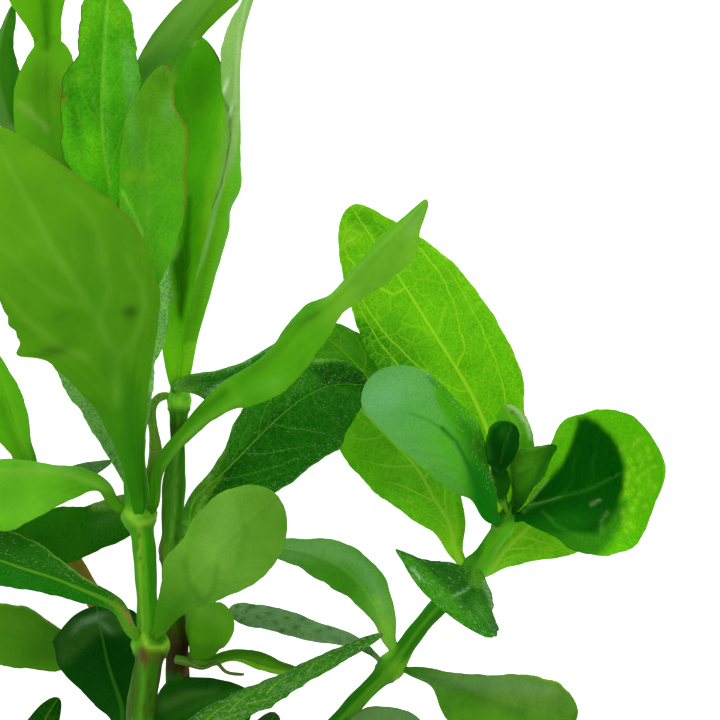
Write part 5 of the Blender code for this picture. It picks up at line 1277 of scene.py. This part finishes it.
def stem_material(name, streaks, flecks):
    material, tree, surface = new_material(name)
    skin = add_node(tree, "Attribute", attribute_name="skin").outputs["Color"]
    group = add_node(tree, "Group", {"Skin": skin, "Streaks": streaks, "Flecks": flecks,
                                     "Fleck Colour": opaque("dark_brown")}, node_tree=STEM_SKIN)
    group.inputs["Seed"].default_value = draws(name).uniform(0, 40)
    bump = add_node(tree, "Bump", {"Height": group.outputs["Height"], "Strength": BUMP_STRENGTH,
                                  "Distance": STEM_BUMP})
    solid = add_node(tree, "BsdfPrincipled", {
        "Base Color": group.outputs["Colour"], "Roughness": group.outputs["Roughness"],
        "Specular IOR Level": 0.03, "Normal": bump.outputs[0]})
    tree.links.new(solid.outputs[0], surface)
    return material


def find_root(spine):
    """Two places, as seen, that a leaf's stalk passes through from inside its stem."""
    base, ahead = from_eye(spine[:2])
    nearest = np.inf
    for made in STEMS.values():
        path = smooth_path(from_eye(made["path"]), np.linspace(0, 1, STEM_SAMPLES))
        far = np.linalg.norm(path - base, axis=1)
        if far.min() < nearest:
            nearest = far.min()
            at = int(np.argmin(far))
            core = path[at]
            down = unit(path[max(at - 2, 0)] - path[min(at + 2, STEM_SAMPLES - 1)])
    end = core + ROOT_DEPTH * down + ROOT_OFF_CORE * (base - core)
    bend = 0.5 * (base - unit(ahead - base)) + 0.5 * (
        core + ROOT_BEND[0] * down + ROOT_BEND[1] * (base - core))
    return to_eye([end, bend])


def leaf_grid(made, fine):
    """Shares along the leaf, from inside its stem to the tip, and the columns across it."""
    root = find_root(made["spine"])
    length = np.linalg.norm(np.diff(from_eye(made["spine"]), axis=0), axis=1).sum()
    hidden = np.linalg.norm(np.diff(from_eye([*root, made["spine"][0]]), axis=0), axis=1).sum()
    half = max(*made["left"], *made["right"])
    stations = int(np.clip(length / STATION_STEP / fine, *STATIONS))
    t = np.linspace(0, 1, stations)
    before = np.arange(-round(hidden / STATION_STEP), 0) * STATION_STEP / length
    share = np.concatenate([before, t * (1 + TIP_CROWDING - TIP_CROWDING * t)])
    columns = int(np.clip(half / COLUMN_STEP / fine, *COLUMNS))
    t = np.linspace(-1, 1, 2 * columns + 1)
    place = t - MARGIN_CROWDING * np.sin(2 * np.pi * t)
    return share, place, length, root


def blade_sheet(name, made, finish, share, place, length, root):
    """The leaf's middle sheet: its points as seen and in place, its normals and its seen half-widths."""
    draw = draws(name)
    seen_path = np.array([*root, *made["spine"]], float)
    steps = np.linalg.norm(np.diff(seen_path, axis=0), axis=1)
    hidden = steps[:2].sum()
    whole = steps.sum()
    spine = smooth_path(seen_path, np.maximum((hidden + share * (whole - hidden)) / whole, 0.0))
    along = unit(np.gradient(spine[:, :2], share, axis=0))
    left = np.stack([-along[:, 1], along[:, 0]], axis=1)
    if made["across"] is not None:
        left = np.tile(made["across"], (len(share), 1))
    taper = ease(share, *RAGGED_SHARES) * ease(1.0 - share, 0.0, SMOOTH_TIP)
    sunk = 1 - ROOT_TAPER * np.clip(-share * (whole - hidden) / hidden, 0, 1)
    widths = []
    for side in ("left", "right"):
        width = even_curve(made[side], share) * sunk
        uneven = ripple(draw, share * length, *MARGIN_RIPPLES) * finish["ragged"]
        for lobe_side, middle, out, spread in finish["lobes"]:
            if lobe_side == side:
                uneven = uneven + out * np.exp(-(((share - middle) / spread) ** 2))
        widths.append(np.maximum(width + uneven * taper * np.minimum(1, width / 2), 0.0))
    ups = np.atleast_2d(made["up"])
    steps = np.linspace(0, 1, len(ups))
    fade = (4 * np.clip(share, 0, 1) * (1 - np.clip(share, 0, 1))) ** RISE_ROUNDING
    height, number, phase = made["wave"]
    seen = np.empty((len(share), len(place), 3))
    swell = ripple(draw, share[:, None] * length + SWELL_SKEW * place, *SWELLS)
    for column, u in enumerate(place):
        side = 0 if u < 0 else 1
        rise = np.interp(share, steps, ups[:, side]) * fade * abs(u) ** made["bow"]
        wave = height * fade * u**2 * np.sin(2 * np.pi * number * share + phase + SIDE_PHASE * side)
        out = (1, -1)[side] * abs(u) * widths[side]
        seen[:, column, :2] = spine[:, :2] + out[:, None] * left
        seen[:, column, 2] = spine[:, 2] + rise + wave + swell[:, column] * fade * abs(u)
    seen[..., 2] = np.maximum(seen[..., 2], LOWEST_BLADE)
    points = from_eye(seen)
    lengthwise = np.gradient(points, share, axis=0)
    crosswise = np.gradient(points, place, axis=1)
    normals = np.cross(crosswise, lengthwise)
    normals[-1] = normals[-2]
    return seen, points, unit(normals), np.array(widths)


def side_veins(finish, share, place, widths, length):
    """For each half, the side veins' count at each point and their distance apart in millimetres."""
    both = []
    for side in range(2):
        steep = finish["lean"] * np.abs(place[None, :]) ** finish["bend"]
        start = (share[:, None] - steep) / (VEIN_TIP - steep)
        begins = np.array([VEIN_ENDS[0], *finish["veins"][side], VEIN_ENDS[1]])
        count = np.interp(start, begins, np.arange(len(begins)))
        down = np.gradient(count, share * length, axis=0)
        span = np.maximum(widths[side], LEAST_HALF_WIDTH)[:, None]
        across = np.gradient(count, place, axis=1) / span
        thinning = 1 + VEIN_THINNING * ease(np.abs(place), *finish["reach"])[None, :]
        both.append((count, thinning / np.maximum(np.hypot(down, across), LEAST_VEIN_SLOPE)))
    return both


def leaf_section(finish, share, place, widths):
    """How far the upper and the lower face stand from the middle sheet."""
    side = (place > 0).astype(int)
    off = np.abs(place)[None, :] * widths[side].T
    mean = widths.mean(axis=0)
    rising = share < share[np.argmax(mean)]
    stalk = np.where(rising, 1 - ease(mean, *STALK_WIDTHS), 0)[:, None]
    rib = np.interp(share, *RIB_HALF_WIDTHS)[:, None] * finish["rib_size"] ** 0.5
    under = np.interp(share, *RIB_DEPTHS)[:, None]
    crest = np.exp(-((off / rib) ** 2))
    edge = np.sqrt(1 - np.abs(place)[None, :] ** MARGIN_SHARPNESS)
    blade = BLADE_THICKNESS / 2 * edge
    depth = np.minimum(STALK_THICKNESS / 2, STALK_FLATNESS * mean)[:, None]
    round_stalk = depth * np.sqrt(1 - place[None, :] ** 2)
    groove = 1 - GROOVE_DEPTH * np.exp(-((place[None, :] / GROOVE_WIDTH) ** 2))
    upper = (1 - stalk) * (blade + finish["rib_up"] * crest * edge) + stalk * round_stalk * groove
    lower = (1 - stalk) * (blade + under * crest * edge) + stalk * round_stalk * STALK_KEEL
    return upper, lower, stalk, rib


def paint(skin, seen, marks, sheet=None):
    """Lays marks over a skin's colours, one after another."""
    for colour, mask in marks:
        skin = skin + mask(seen, sheet)[..., None] * (linear(colour) - skin)
    return skin


def blade_colours(finish, share, place, seen, widths):
    """The skin's colour at each point, from the foot's, the base's and the tip's, then the marks."""
    u = place[None, :, None]
    s = share[:, None, None]
    skin = np.tile(linear(finish["base"]), (len(share), len(place), 1))
    if finish["tip"]:
        skin = skin + ease(s, TIP_COLOUR_FROM, 1.0) * (linear(finish["tip"]) - skin)
    for side, sign in (("left", -1), ("right", 1)):
        if finish[side]:
            skin = skin + ease(u * sign, 0.0, HALF_COLOUR_EDGE) * (linear(finish[side]) - skin)
    skin = skin + (1 - ease(s, FOOT_COLOUR_FROM, finish["foot_end"])) * (linear(finish["foot"]) - skin)
    return paint(skin, seen, finish["marks"], dict(share=share, place=place, widths=widths))


def grow_hairs(name, finish, share, place, points, normals, material):
    """Short bent white hairs on a leaf's upper face, joined in one piece."""
    how = finish["hairs"]
    draw = draws(name + "_hairs")
    sides = np.cross(np.diff(points, axis=0)[:, :-1], np.diff(points, axis=1)[:-1])
    area = np.linalg.norm(sides, axis=-1)
    middle = (place[:-1] + place[1:]) / 2
    for index, sign in ((0, -1), (1, 1)):
        low, high = how[("left", "right")[index]]
        out = (middle * sign > 0) & ((middle * sign < low) | (middle * sign > high))
        area[:, out] = 0
    centre = (share[:-1] + share[1:]) / 2
    area[(centre < how["share"][0]) | (centre > how["share"][1])] = 0
    number = int(area.sum() * how["density"])
    cell = draw.choice(area.size, number, p=(area / area.sum()).ravel())
    i, j = np.unravel_index(cell, area.shape)
    a, b = draw.random((2, number, 1))
    root = (points[i, j] * (1 - a) + points[i + 1, j] * a) * (1 - b) + (
        points[i, j + 1] * (1 - a) + points[i + 1, j + 1] * a) * b
    up = normals[i, j]
    ahead = unit(points[i + 1, j] - points[i, j])
    aside = unit(np.cross(up, ahead))
    turn = np.radians(how["lean"] + how["spread"] * draw.normal(size=(number, 1)))
    lift = np.radians(how["rise"]) * draw.uniform(*HAIR_TILTS, (number, 1))
    flat = np.cos(turn) * ahead + np.sin(turn) * aside
    length = how["length"] * draw.uniform(*HAIR_LENGTHS, (number, 1))
    first = np.cos(lift) * flat + np.sin(lift) * up
    aside = HAIR_SWERVE * draw.normal(size=(number, 1)) * np.cross(up, flat)
    swerve = unit(first + aside - HAIR_DROOP * up)
    root = root + up * BLADE_THICKNESS / 2
    bend = root + 0.5 * length * first
    end = bend + 0.5 * length * swerve
    corners = []
    for k in range(3):
        angle = 2 * np.pi * k / 3
        ring = np.cos(angle) * np.cross(first, up) + np.sin(angle) * up
        corners += [root + how["radius"] * ring, bend + HAIR_TAPER * how["radius"] * ring]
    corners = np.stack([*corners, end], axis=1)
    each = corners.shape[1]
    faces = [tuple(each * hair + corner for corner in face)
             for hair in range(number) for face in HAIR_FACES]
    piece = new_piece(name + "_hairs", corners.reshape(-1, 3), faces)
    piece.data.materials.append(material)


def grow_leaf(name, made, finish, hair_material):
    """One leaf as a closed solid: two faces that meet in thin margins, on a round stalk."""
    share, place, length, root = leaf_grid(made, finish["fine"])
    seen, points, normals, widths = blade_sheet(name, made, finish, share, place, length, root)
    veins = side_veins(finish, share, place, widths, length)
    upper, lower, stalk, rib = leaf_section(finish, share, place, widths)
    rows, columns = len(share), len(place)
    middle = columns // 2
    side = (place > 0).astype(int)
    off = np.abs(place)[None, :] * widths[side].T
    from_margin = widths[side].T - off
    count = np.where(side[None, :] == 0, veins[0][0], veins[1][0])
    fade = ease(off, *QUILT_FROM_RIB) * ease(from_margin, *QUILT_FROM_MARGIN)
    quilt = QUILT * np.sin(np.pi * count) ** 2 * fade
    lift = (quilt * (1 - stalk))[..., None] * normals
    top = points + normals * upper[..., None] + lift
    bottom = points - normals * lower[..., None] + lift
    skin = blade_colours(finish, share, place, seen, widths)

    upper_at = np.arange((rows - 1) * columns).reshape(rows - 1, columns)
    lower_at = upper_at.copy()
    inner = np.arange((rows - 1) * (columns - 2)).reshape(rows - 1, columns - 2)
    lower_at[:, 1:-1] = upper_at.size + inner
    tip = upper_at.size + inner.size
    corners = [top[:-1].reshape(-1, 3), bottom[:-1, 1:-1].reshape(-1, 3), points[-1:, middle]]
    colours = [skin[:-1].reshape(-1, 3), skin[:-1, 1:-1].reshape(-1, 3), skin[-1:, middle]]

    ways = np.broadcast_arrays(place[None, :] * widths[side].T / 10, share[:, None] * length / 10)
    blade = np.stack(ways, -1)
    ribs = np.stack([off / (rib * RIB_PAINTED), from_margin], -1)
    faces, maps = [], {"blade": [], "veins": [], "rib": []}

    def lay(at, turn):
        for i in range(rows - 1):
            for j in range(columns - 1):
                half = 0 if j < middle else 1
                spots = [(i, j), (i, j + 1), (i + 1, j + 1), (i + 1, j)]
                if i == rows - 2:
                    spots = [(i, j), (i, j + 1), (i + 1, middle)]
                spots = spots[::-1] if turn else spots
                faces.append([tip if spot[0] == rows - 1 else int(at[spot]) for spot in spots])
                for spot in spots:
                    maps["blade"].append(blade[spot])
                    maps["veins"].append((veins[half][0][spot], veins[half][1][spot]))
                    maps["rib"].append(ribs[spot])

    lay(upper_at, False)
    lay(lower_at, True)
    ring = [(0, j, upper_at) for j in range(columns)]
    ring += [(0, j, lower_at) for j in range(columns - 2, 0, -1)]
    ring.reverse()
    faces.append([int(at[i, j]) for i, j, at in ring])
    for i, j, _ in ring:
        maps["blade"].append(blade[i, j])
        maps["veins"].append((veins[0][0][i, j], veins[0][1][i, j]))
        maps["rib"].append(ribs[i, j])
    piece = new_piece(name + "_blade", np.concatenate(corners), faces, maps, np.concatenate(colours), name)
    piece.data.materials.append(leaf_material(name + "_skin", finish))
    if finish["hairs"]:
        grow_hairs(name, finish, share, place, points, normals, hair_material)
    return piece


def grow_stem(name, made, finish):
    """One stem: a four-ribbed tube along its path, swollen at its joints, with closed ends."""
    path = from_eye(made["path"])
    steps = np.linalg.norm(np.diff(path, axis=0), axis=1)
    knots = np.concatenate([[0.0], np.cumsum(steps)])
    length = knots[-1]
    rings = max(FEWEST_RINGS, round(length / RING_STEP))
    share = np.linspace(0, 1, rings)
    spine = smooth_path(path, share)
    at = share * length
    radius = np.interp(at, knots, made["radii"])
    pale = np.zeros(rings)
    collar = np.zeros(rings)
    for joint in made["joints"]:
        off = at - knots[joint]
        radius = radius + made["swelling"] * np.exp(-((off / JOINT_LENGTH) ** 2))
        pale = np.maximum(pale, np.exp(-((off / JOINT_LENGTH) ** 2)))
        collar = collar + COLLAR * np.exp(-(((off + COLLAR_PLACE) / COLLAR_WIDTH) ** 2))
    draw = draws(name)
    radius = radius + collar + ripple(draw, at, *STEM_RIPPLES)
    along = unit(np.gradient(spine, share, axis=0))
    side = unit(np.cross((0.0, 0.0, 1.0), along))
    up = np.cross(along, side)
    turn = 2 * np.pi * np.arange(STEM_SIDES) / STEM_SIDES
    ridges = RIB_HEIGHTS[0] * np.cos(RIBS * turn) - RIB_HEIGHTS[1] * np.cos(2 * RIBS * turn)
    ribs = 1 + ridges[None, :] * (1 - pale)[:, None]
    out = np.cos(turn)[None, :, None] * side[:, None] + np.sin(turn)[None, :, None] * up[:, None]
    shell = spine[:, None] + (radius[:, None] * ribs)[..., None] * out
    corners = [*shell.reshape(-1, 3)]

    wear = np.interp(share, *zip(*finish["wear"]))
    skin = np.tile(linear(finish["base"]), (rings, STEM_SIDES, 1))
    skin = skin + (wear[:, None, None]) * (linear(finish["old"]) - skin)
    crest = ease(np.cos(RIBS * turn), 0.2, 1.0)[None, :, None] * RIB_PALENESS
    skin = skin + crest * (1 - wear[:, None, None]) * (linear("paling") - skin)
    paled = JOINT_PALENESS * pale * finish["pale_joints"]
    skin = skin + paled[:, None, None] * (linear("paling") - skin)
    skin = paint(skin, to_eye(shell), finish["marks"])
    colours = [*skin.reshape(-1, 3)]

    faces, bark, age = [], [], []
    for i in range(rings - 1):
        for k in range(STEM_SIDES):
            spots = [(i, k), (i, k + 1), (i + 1, k + 1), (i + 1, k)]
            faces.append([row * STEM_SIDES + column % STEM_SIDES for row, column in spots])
            for row, column in spots:
                bark.append((radius[row] * turn[1] * column / 10, at[row] / 10))
                age.append((wear[row] * FLECK_AGES[1] + FLECK_AGES[0], pale[row]))
    for end, order in ((0, -1), (rings - 1, 1)):
        before = end * STEM_SIDES
        for inset, push in CUT_RINGS:
            base = len(corners)
            for k in range(STEM_SIDES):
                corners.append(spine[end] + radius[end] * inset * out[end, k] + order * push * along[end])
                colours.append(linear("pith") if finish["cut"] else skin[end, k])
            for k in range(STEM_SIDES):
                after = (k + 1) % STEM_SIDES
                faces.append([before + k, before + after, base + after, base + k][::order])
            before = base
        faces.append([base + k for k in range(STEM_SIDES)][::order])
        count = (4 * len(CUT_RINGS) + 1) * STEM_SIDES
        bark += [(0.0, at[end] / 10)] * count
        age += [(CUT_AGE, 0.0)] * count
    piece = new_piece(name + "_bark", np.array(corners), faces, {"bark": bark, "age": age},
                      np.array(colours), name)
    piece.data.materials.append(stem_material(name + "_skin", finish["streaks"], finish["flecks"]))
    return piece


# A stem's finish: wear has how brown it is at each share of the way up.
PLAIN_STEM = dict(old="dark_brown", wear=((0, 0), (1, 0)), streaks=0.5, flecks=0.5, pale_joints=1.0,
                  cut=False, slot="stem_green")


def stem_look(base, *marks, **own):
    """A stem's finish: the plain one, changed by its own values, under its marks."""
    return PLAIN_STEM | dict(base=base, marks=marks) | own


STEM_LOOKS = {
    "main_stem": stem_look(
        (56, 126, 14),
        stroke((100, 160, 56), [(-22.9, -9.5), (-23, -15), (-23.5, -22)], 0.35, 0.3, 0.7),
        stroke((84, 74, 36), [(-24.6, -13.2), (-24.9, -17.5), (-24.9, -22.5), (-25, -30)], 0.35, 0.4, 0.7),
        zone((144, 224, 60), [(-24.5, -1.8), (-20.8, -1.8), (-20.8, -6), (-24.5, -6)], 1.2, 0.9),
        # painted shade: the stem darkened where it runs into the base right leaf's shade
        zone((26, 84, 10), [(-25.5, -39), (-22.5, -39.2), (-19.5, -40.2), (-19.5, -45), (-25.5, -45)], 1.5,
            0.92),
        stroke((104, 66, 30), [(-21.5, -30), (-21.4, -36.2), (-21.8, -41.2)], 0.3, 0.3, 0.6),
        stroke((60, 96, 20), [(-23, -22.5), (-23.2, -30)], 0.5, 0.4, 0.4),
        wear=((0, 0.8), (0.25, 0.95), (0.46, 0.97), (0.56, 0.5), (0.63, 0.05), (0.8, 0), (0.825, 0.6),
            (0.85, 0.6), (0.866, 0), (1, 0)), streaks=0.9, flecks=0.9, pale_joints=0.5, cut=True,
        slot="stem_brown"),
    "front_stem": stem_look(
        (54, 134, 8),
        stroke((112, 166, 34), [(-27.6, -21.2), (-27.5, -27.5), (-27.2, -34)], 0.3, 0.3, 0.7),
        stroke((30, 104, 6), [(-25.4, -21.2), (-25.2, -27.5), (-24.9, -33.8)], 0.5, 0.5, 0.7),
        stroke((40, 124, 6), [(-26.1, -22.5), (-25.9, -33.1)], 0.3, 0.3, 0.5),
        spot((70, 56, 20), -27.6, -22, 0.4, 0.2, 80, 0.8),
        spot((70, 56, 20), -27.8, -23.4, 0.5, 0.2, 85, 0.7),
        spot((70, 56, 20), -27.5, -24.8, 0.4, 0.18, 80, 0.7),
        stroke((136, 190, 50), [(-29.2, -19), (-27.8, -20.5), (-26.2, -20.2), (-25, -19.2)], 0.5, 0.4, 0.6),
        zone((46, 106, 12), [(-26.5, -33.8), (-24, -33.5), (-24, -35), (-24.8, -35.8), (-26.2, -35.8),
            (-26.6, -34.8)], 0.6, 0.7),
        stroke((128, 178, 34), [(-27.1, -34.5), (-26.6, -35.9), (-25.5, -36.1), (-24.5, -36), (-23.8, -35),
            (-23.4, -33.6)], 0.28, 0.28, 0.9),
        zone((40, 92, 6), [(-29, -36.5), (-23.5, -36.5), (-24.2, -45), (-29.5, -45)], 1, 0.9),
        zone((84, 78, 26), [(-27.8, -35.9), (-24.2, -36.1), (-24.6, -37.8), (-27.8, -37.8)], 0.8, 0.5),
        stroke((78, 134, 26), [(-27.1, -38), (-27.2, -41.2), (-27.5, -44.8)], 0.4, 0.4, 0.6),
        stroke((62, 50, 18), [(-28, -37.2), (-28.4, -41.2), (-28.8, -44.8)], 0.2, 0.2, 0.7),
        stroke((84, 52, 24), [(-27.2, -36.2), (-27, -37.5)], 0.5, 0.4, 0.8),
        stroke((52, 40, 14), [(-24.6, -36.9), (-24.9, -38.8), (-25.2, -41.2), (-25.5, -44.9)], 0.3, 0.3,
            0.85),
        spot((60, 50, 18), -26.4, -40.5, 0.6, 0.22, 80, 0.8),
        spot((60, 50, 18), -26.2, -42, 0.5, 0.2, 80, 0.8),
        spot((70, 46, 18), -26.8, -38.2, 0.7, 0.2, 85, 0.7),
        spot((60, 50, 18), -27, -43.5, 0.5, 0.2, 80, 0.7),
        spot((60, 50, 18), -26, -43.8, 0.4, 0.2, 80, 0.7),
        old="brown", wear=((0, 0.3), (0.2, 0.25), (0.245, 0), (0.5, 0), (1, 0)), streaks=0.5, flecks=0.7,
        pale_joints=0.5),
    "right_stem": stem_look(
        (36, 110, 6),
        stroke((100, 156, 24), [(4.5, -39.8), (7.5, -35.8), (12.2, -31), (16.5, -26.5), (18.5, -23.5)], 0.4,
            0.5, 0.7),
        stroke((30, 108, 6), [(-3.8, -44.2), (0.8, -39.5), (4.8, -35), (9.5, -30), (13.8, -25.8)], 0.4, 0.4,
            0.6),
        stroke((80, 140, 20), [(-1.2, -44.5), (2, -41.2), (4, -39)], 0.4, 0.4, 0.6),
        zone((76, 156, 16), [(13.8, -28.8), (15, -25.2), (16, -20.5), (19, -20), (20.5, -21.2),
            (20.2, -23.5), (17.5, -27.2)], 1, 0.9),
        stroke((30, 104, 8), [(17.5, -20.5), (18.5, -20), (20, -19)], 0.5, 0.4, 0.7),
        spot((112, 178, 40), 3.5, -36.2, 1.3, 0.9, 60, 0.8),
        spot((96, 160, 24), 5.2, -38.5, 1.3, 1, 0, 0.6),
        spot((110, 160, 60), 16.8, -20.8, 0.5, 0.6, 0, 0.7),
        wear=((0, 0.2), (0.3, 0), (1, 0)), streaks=0.4, flecks=0.3, pale_joints=0.3),
    "left_stem": stem_look(
        (80, 120, 20), old=(128, 92, 36), wear=((0, 0.9), (0.5, 0.8), (0.7, 0.3), (1, 0)),
        slot="stem_brown"),
    "side_shoot": stem_look("soft"),
    "dry_stalk": stem_look(
        (70, 122, 40),
        stroke((96, 84, 36), [(-23.4, -38), (-19.6, -38.8), (-16, -39.5)], 0.25, 0.15, 0.7),
        old="brown", wear=((0, 0.1), (0.5, 0.3), (1, 0.6)), pale_joints=0, streaks=0.8, slot="stem_brown"),
}


def hair_look():
    """White hairs."""
    material, tree, surface = new_material("hair_white")
    solid = add_node(tree, "BsdfPrincipled", {
        "Base Color": opaque("hair"), "Roughness": 0.5, "Specular IOR Level": 0.2})
    tree.links.new(solid.outputs[0], surface)
    return material


def lay_floor():
    """A pale lit table under the plant."""
    mesh = bpy.data.meshes.new("table")
    corners = [(x * TABLE_HALF, y * TABLE_HALF, 0) for x, y in ((-1, -1), (1, -1), (1, 1), (-1, 1))]
    mesh.from_pydata(corners, [], [(0, 1, 2, 3)])
    table = bpy.data.objects.new("table", mesh)
    bpy.context.scene.collection.objects.link(table)
    material, tree, surface = new_material("table_white")
    solid = add_node(tree, "BsdfPrincipled", {
        "Base Color": (0.9, 0.9, 0.9, 1.0), "Roughness": 0.9, "Specular IOR Level": 0.1,
        "Emission Color": (1.0, 1.0, 1.0, 1.0), "Emission Strength": TABLE_GLOW})
    tree.links.new(solid.outputs[0], surface)
    mesh.materials.append(material)


def hang_light(name, place, power):
    """A soft square lamp that faces the plant's middle."""
    lamp = bpy.data.lights.new(name, "AREA")
    lamp.shape = "SQUARE"
    lamp.size = LAMP_SIZE
    lamp.energy = power
    holder = bpy.data.objects.new(name, lamp)
    spot = np.array(place)
    holder.location = spot
    away = -unit(spot - np.array(LAMPS_FACE))
    holder.rotation_mode = "QUATERNION"
    holder.rotation_quaternion = Vector(away).to_track_quat("-Z", "Y")
    bpy.context.scene.collection.objects.link(holder)


def light_studio():
    """An even white room with four lamps, seen as plain white behind the table."""
    world = bpy.data.worlds.new("studio")
    world.use_nodes = True
    tree = world.node_tree
    room = tree.nodes["Background"]
    path = add_node(tree, "LightPath")
    shown = add_node(tree, "Background", {"Color": (1, 1, 1, 1), "Strength": 1.0})
    room.inputs["Color"].default_value = (1, 1, 1, 1)
    room.inputs["Strength"].default_value = ROOM_LIGHT
    both = add_node(tree, "MixShader", {0: path.outputs["Is Camera Ray"], 1: room.outputs[0],
                                        2: shown.outputs[0]})
    tree.links.new(both.outputs[0], tree.nodes["World Output"].inputs["Surface"])
    bpy.context.scene.world = world
    for name, place, power in LAMPS:
        hang_light(name, place, power)


def place_camera():
    """The eye that the tables are seen from, straight over the plant."""
    data = bpy.data.cameras.new("camera")
    data.lens = LENS
    data.sensor_width = SENSOR
    data.clip_start, data.clip_end = CLIP
    camera = bpy.data.objects.new("camera", data)
    camera.location = in_frame(np.array([0.0, 0.0, EYE_HEIGHT]))
    bpy.context.scene.collection.objects.link(camera)
    bpy.context.scene.camera = camera


def build():
    hair_material = hair_look()
    for name, made in STEMS.items():
        grow_stem(name, made, STEM_LOOKS[name])
    for name, made in LEAVES.items():
        grow_leaf(name, made, LOOKS[name], hair_material)
    lay_floor()
    light_studio()
    place_camera()
    bpy.context.scene.view_settings.view_transform = "Standard"


build()
bpy.context.view_layer.update()
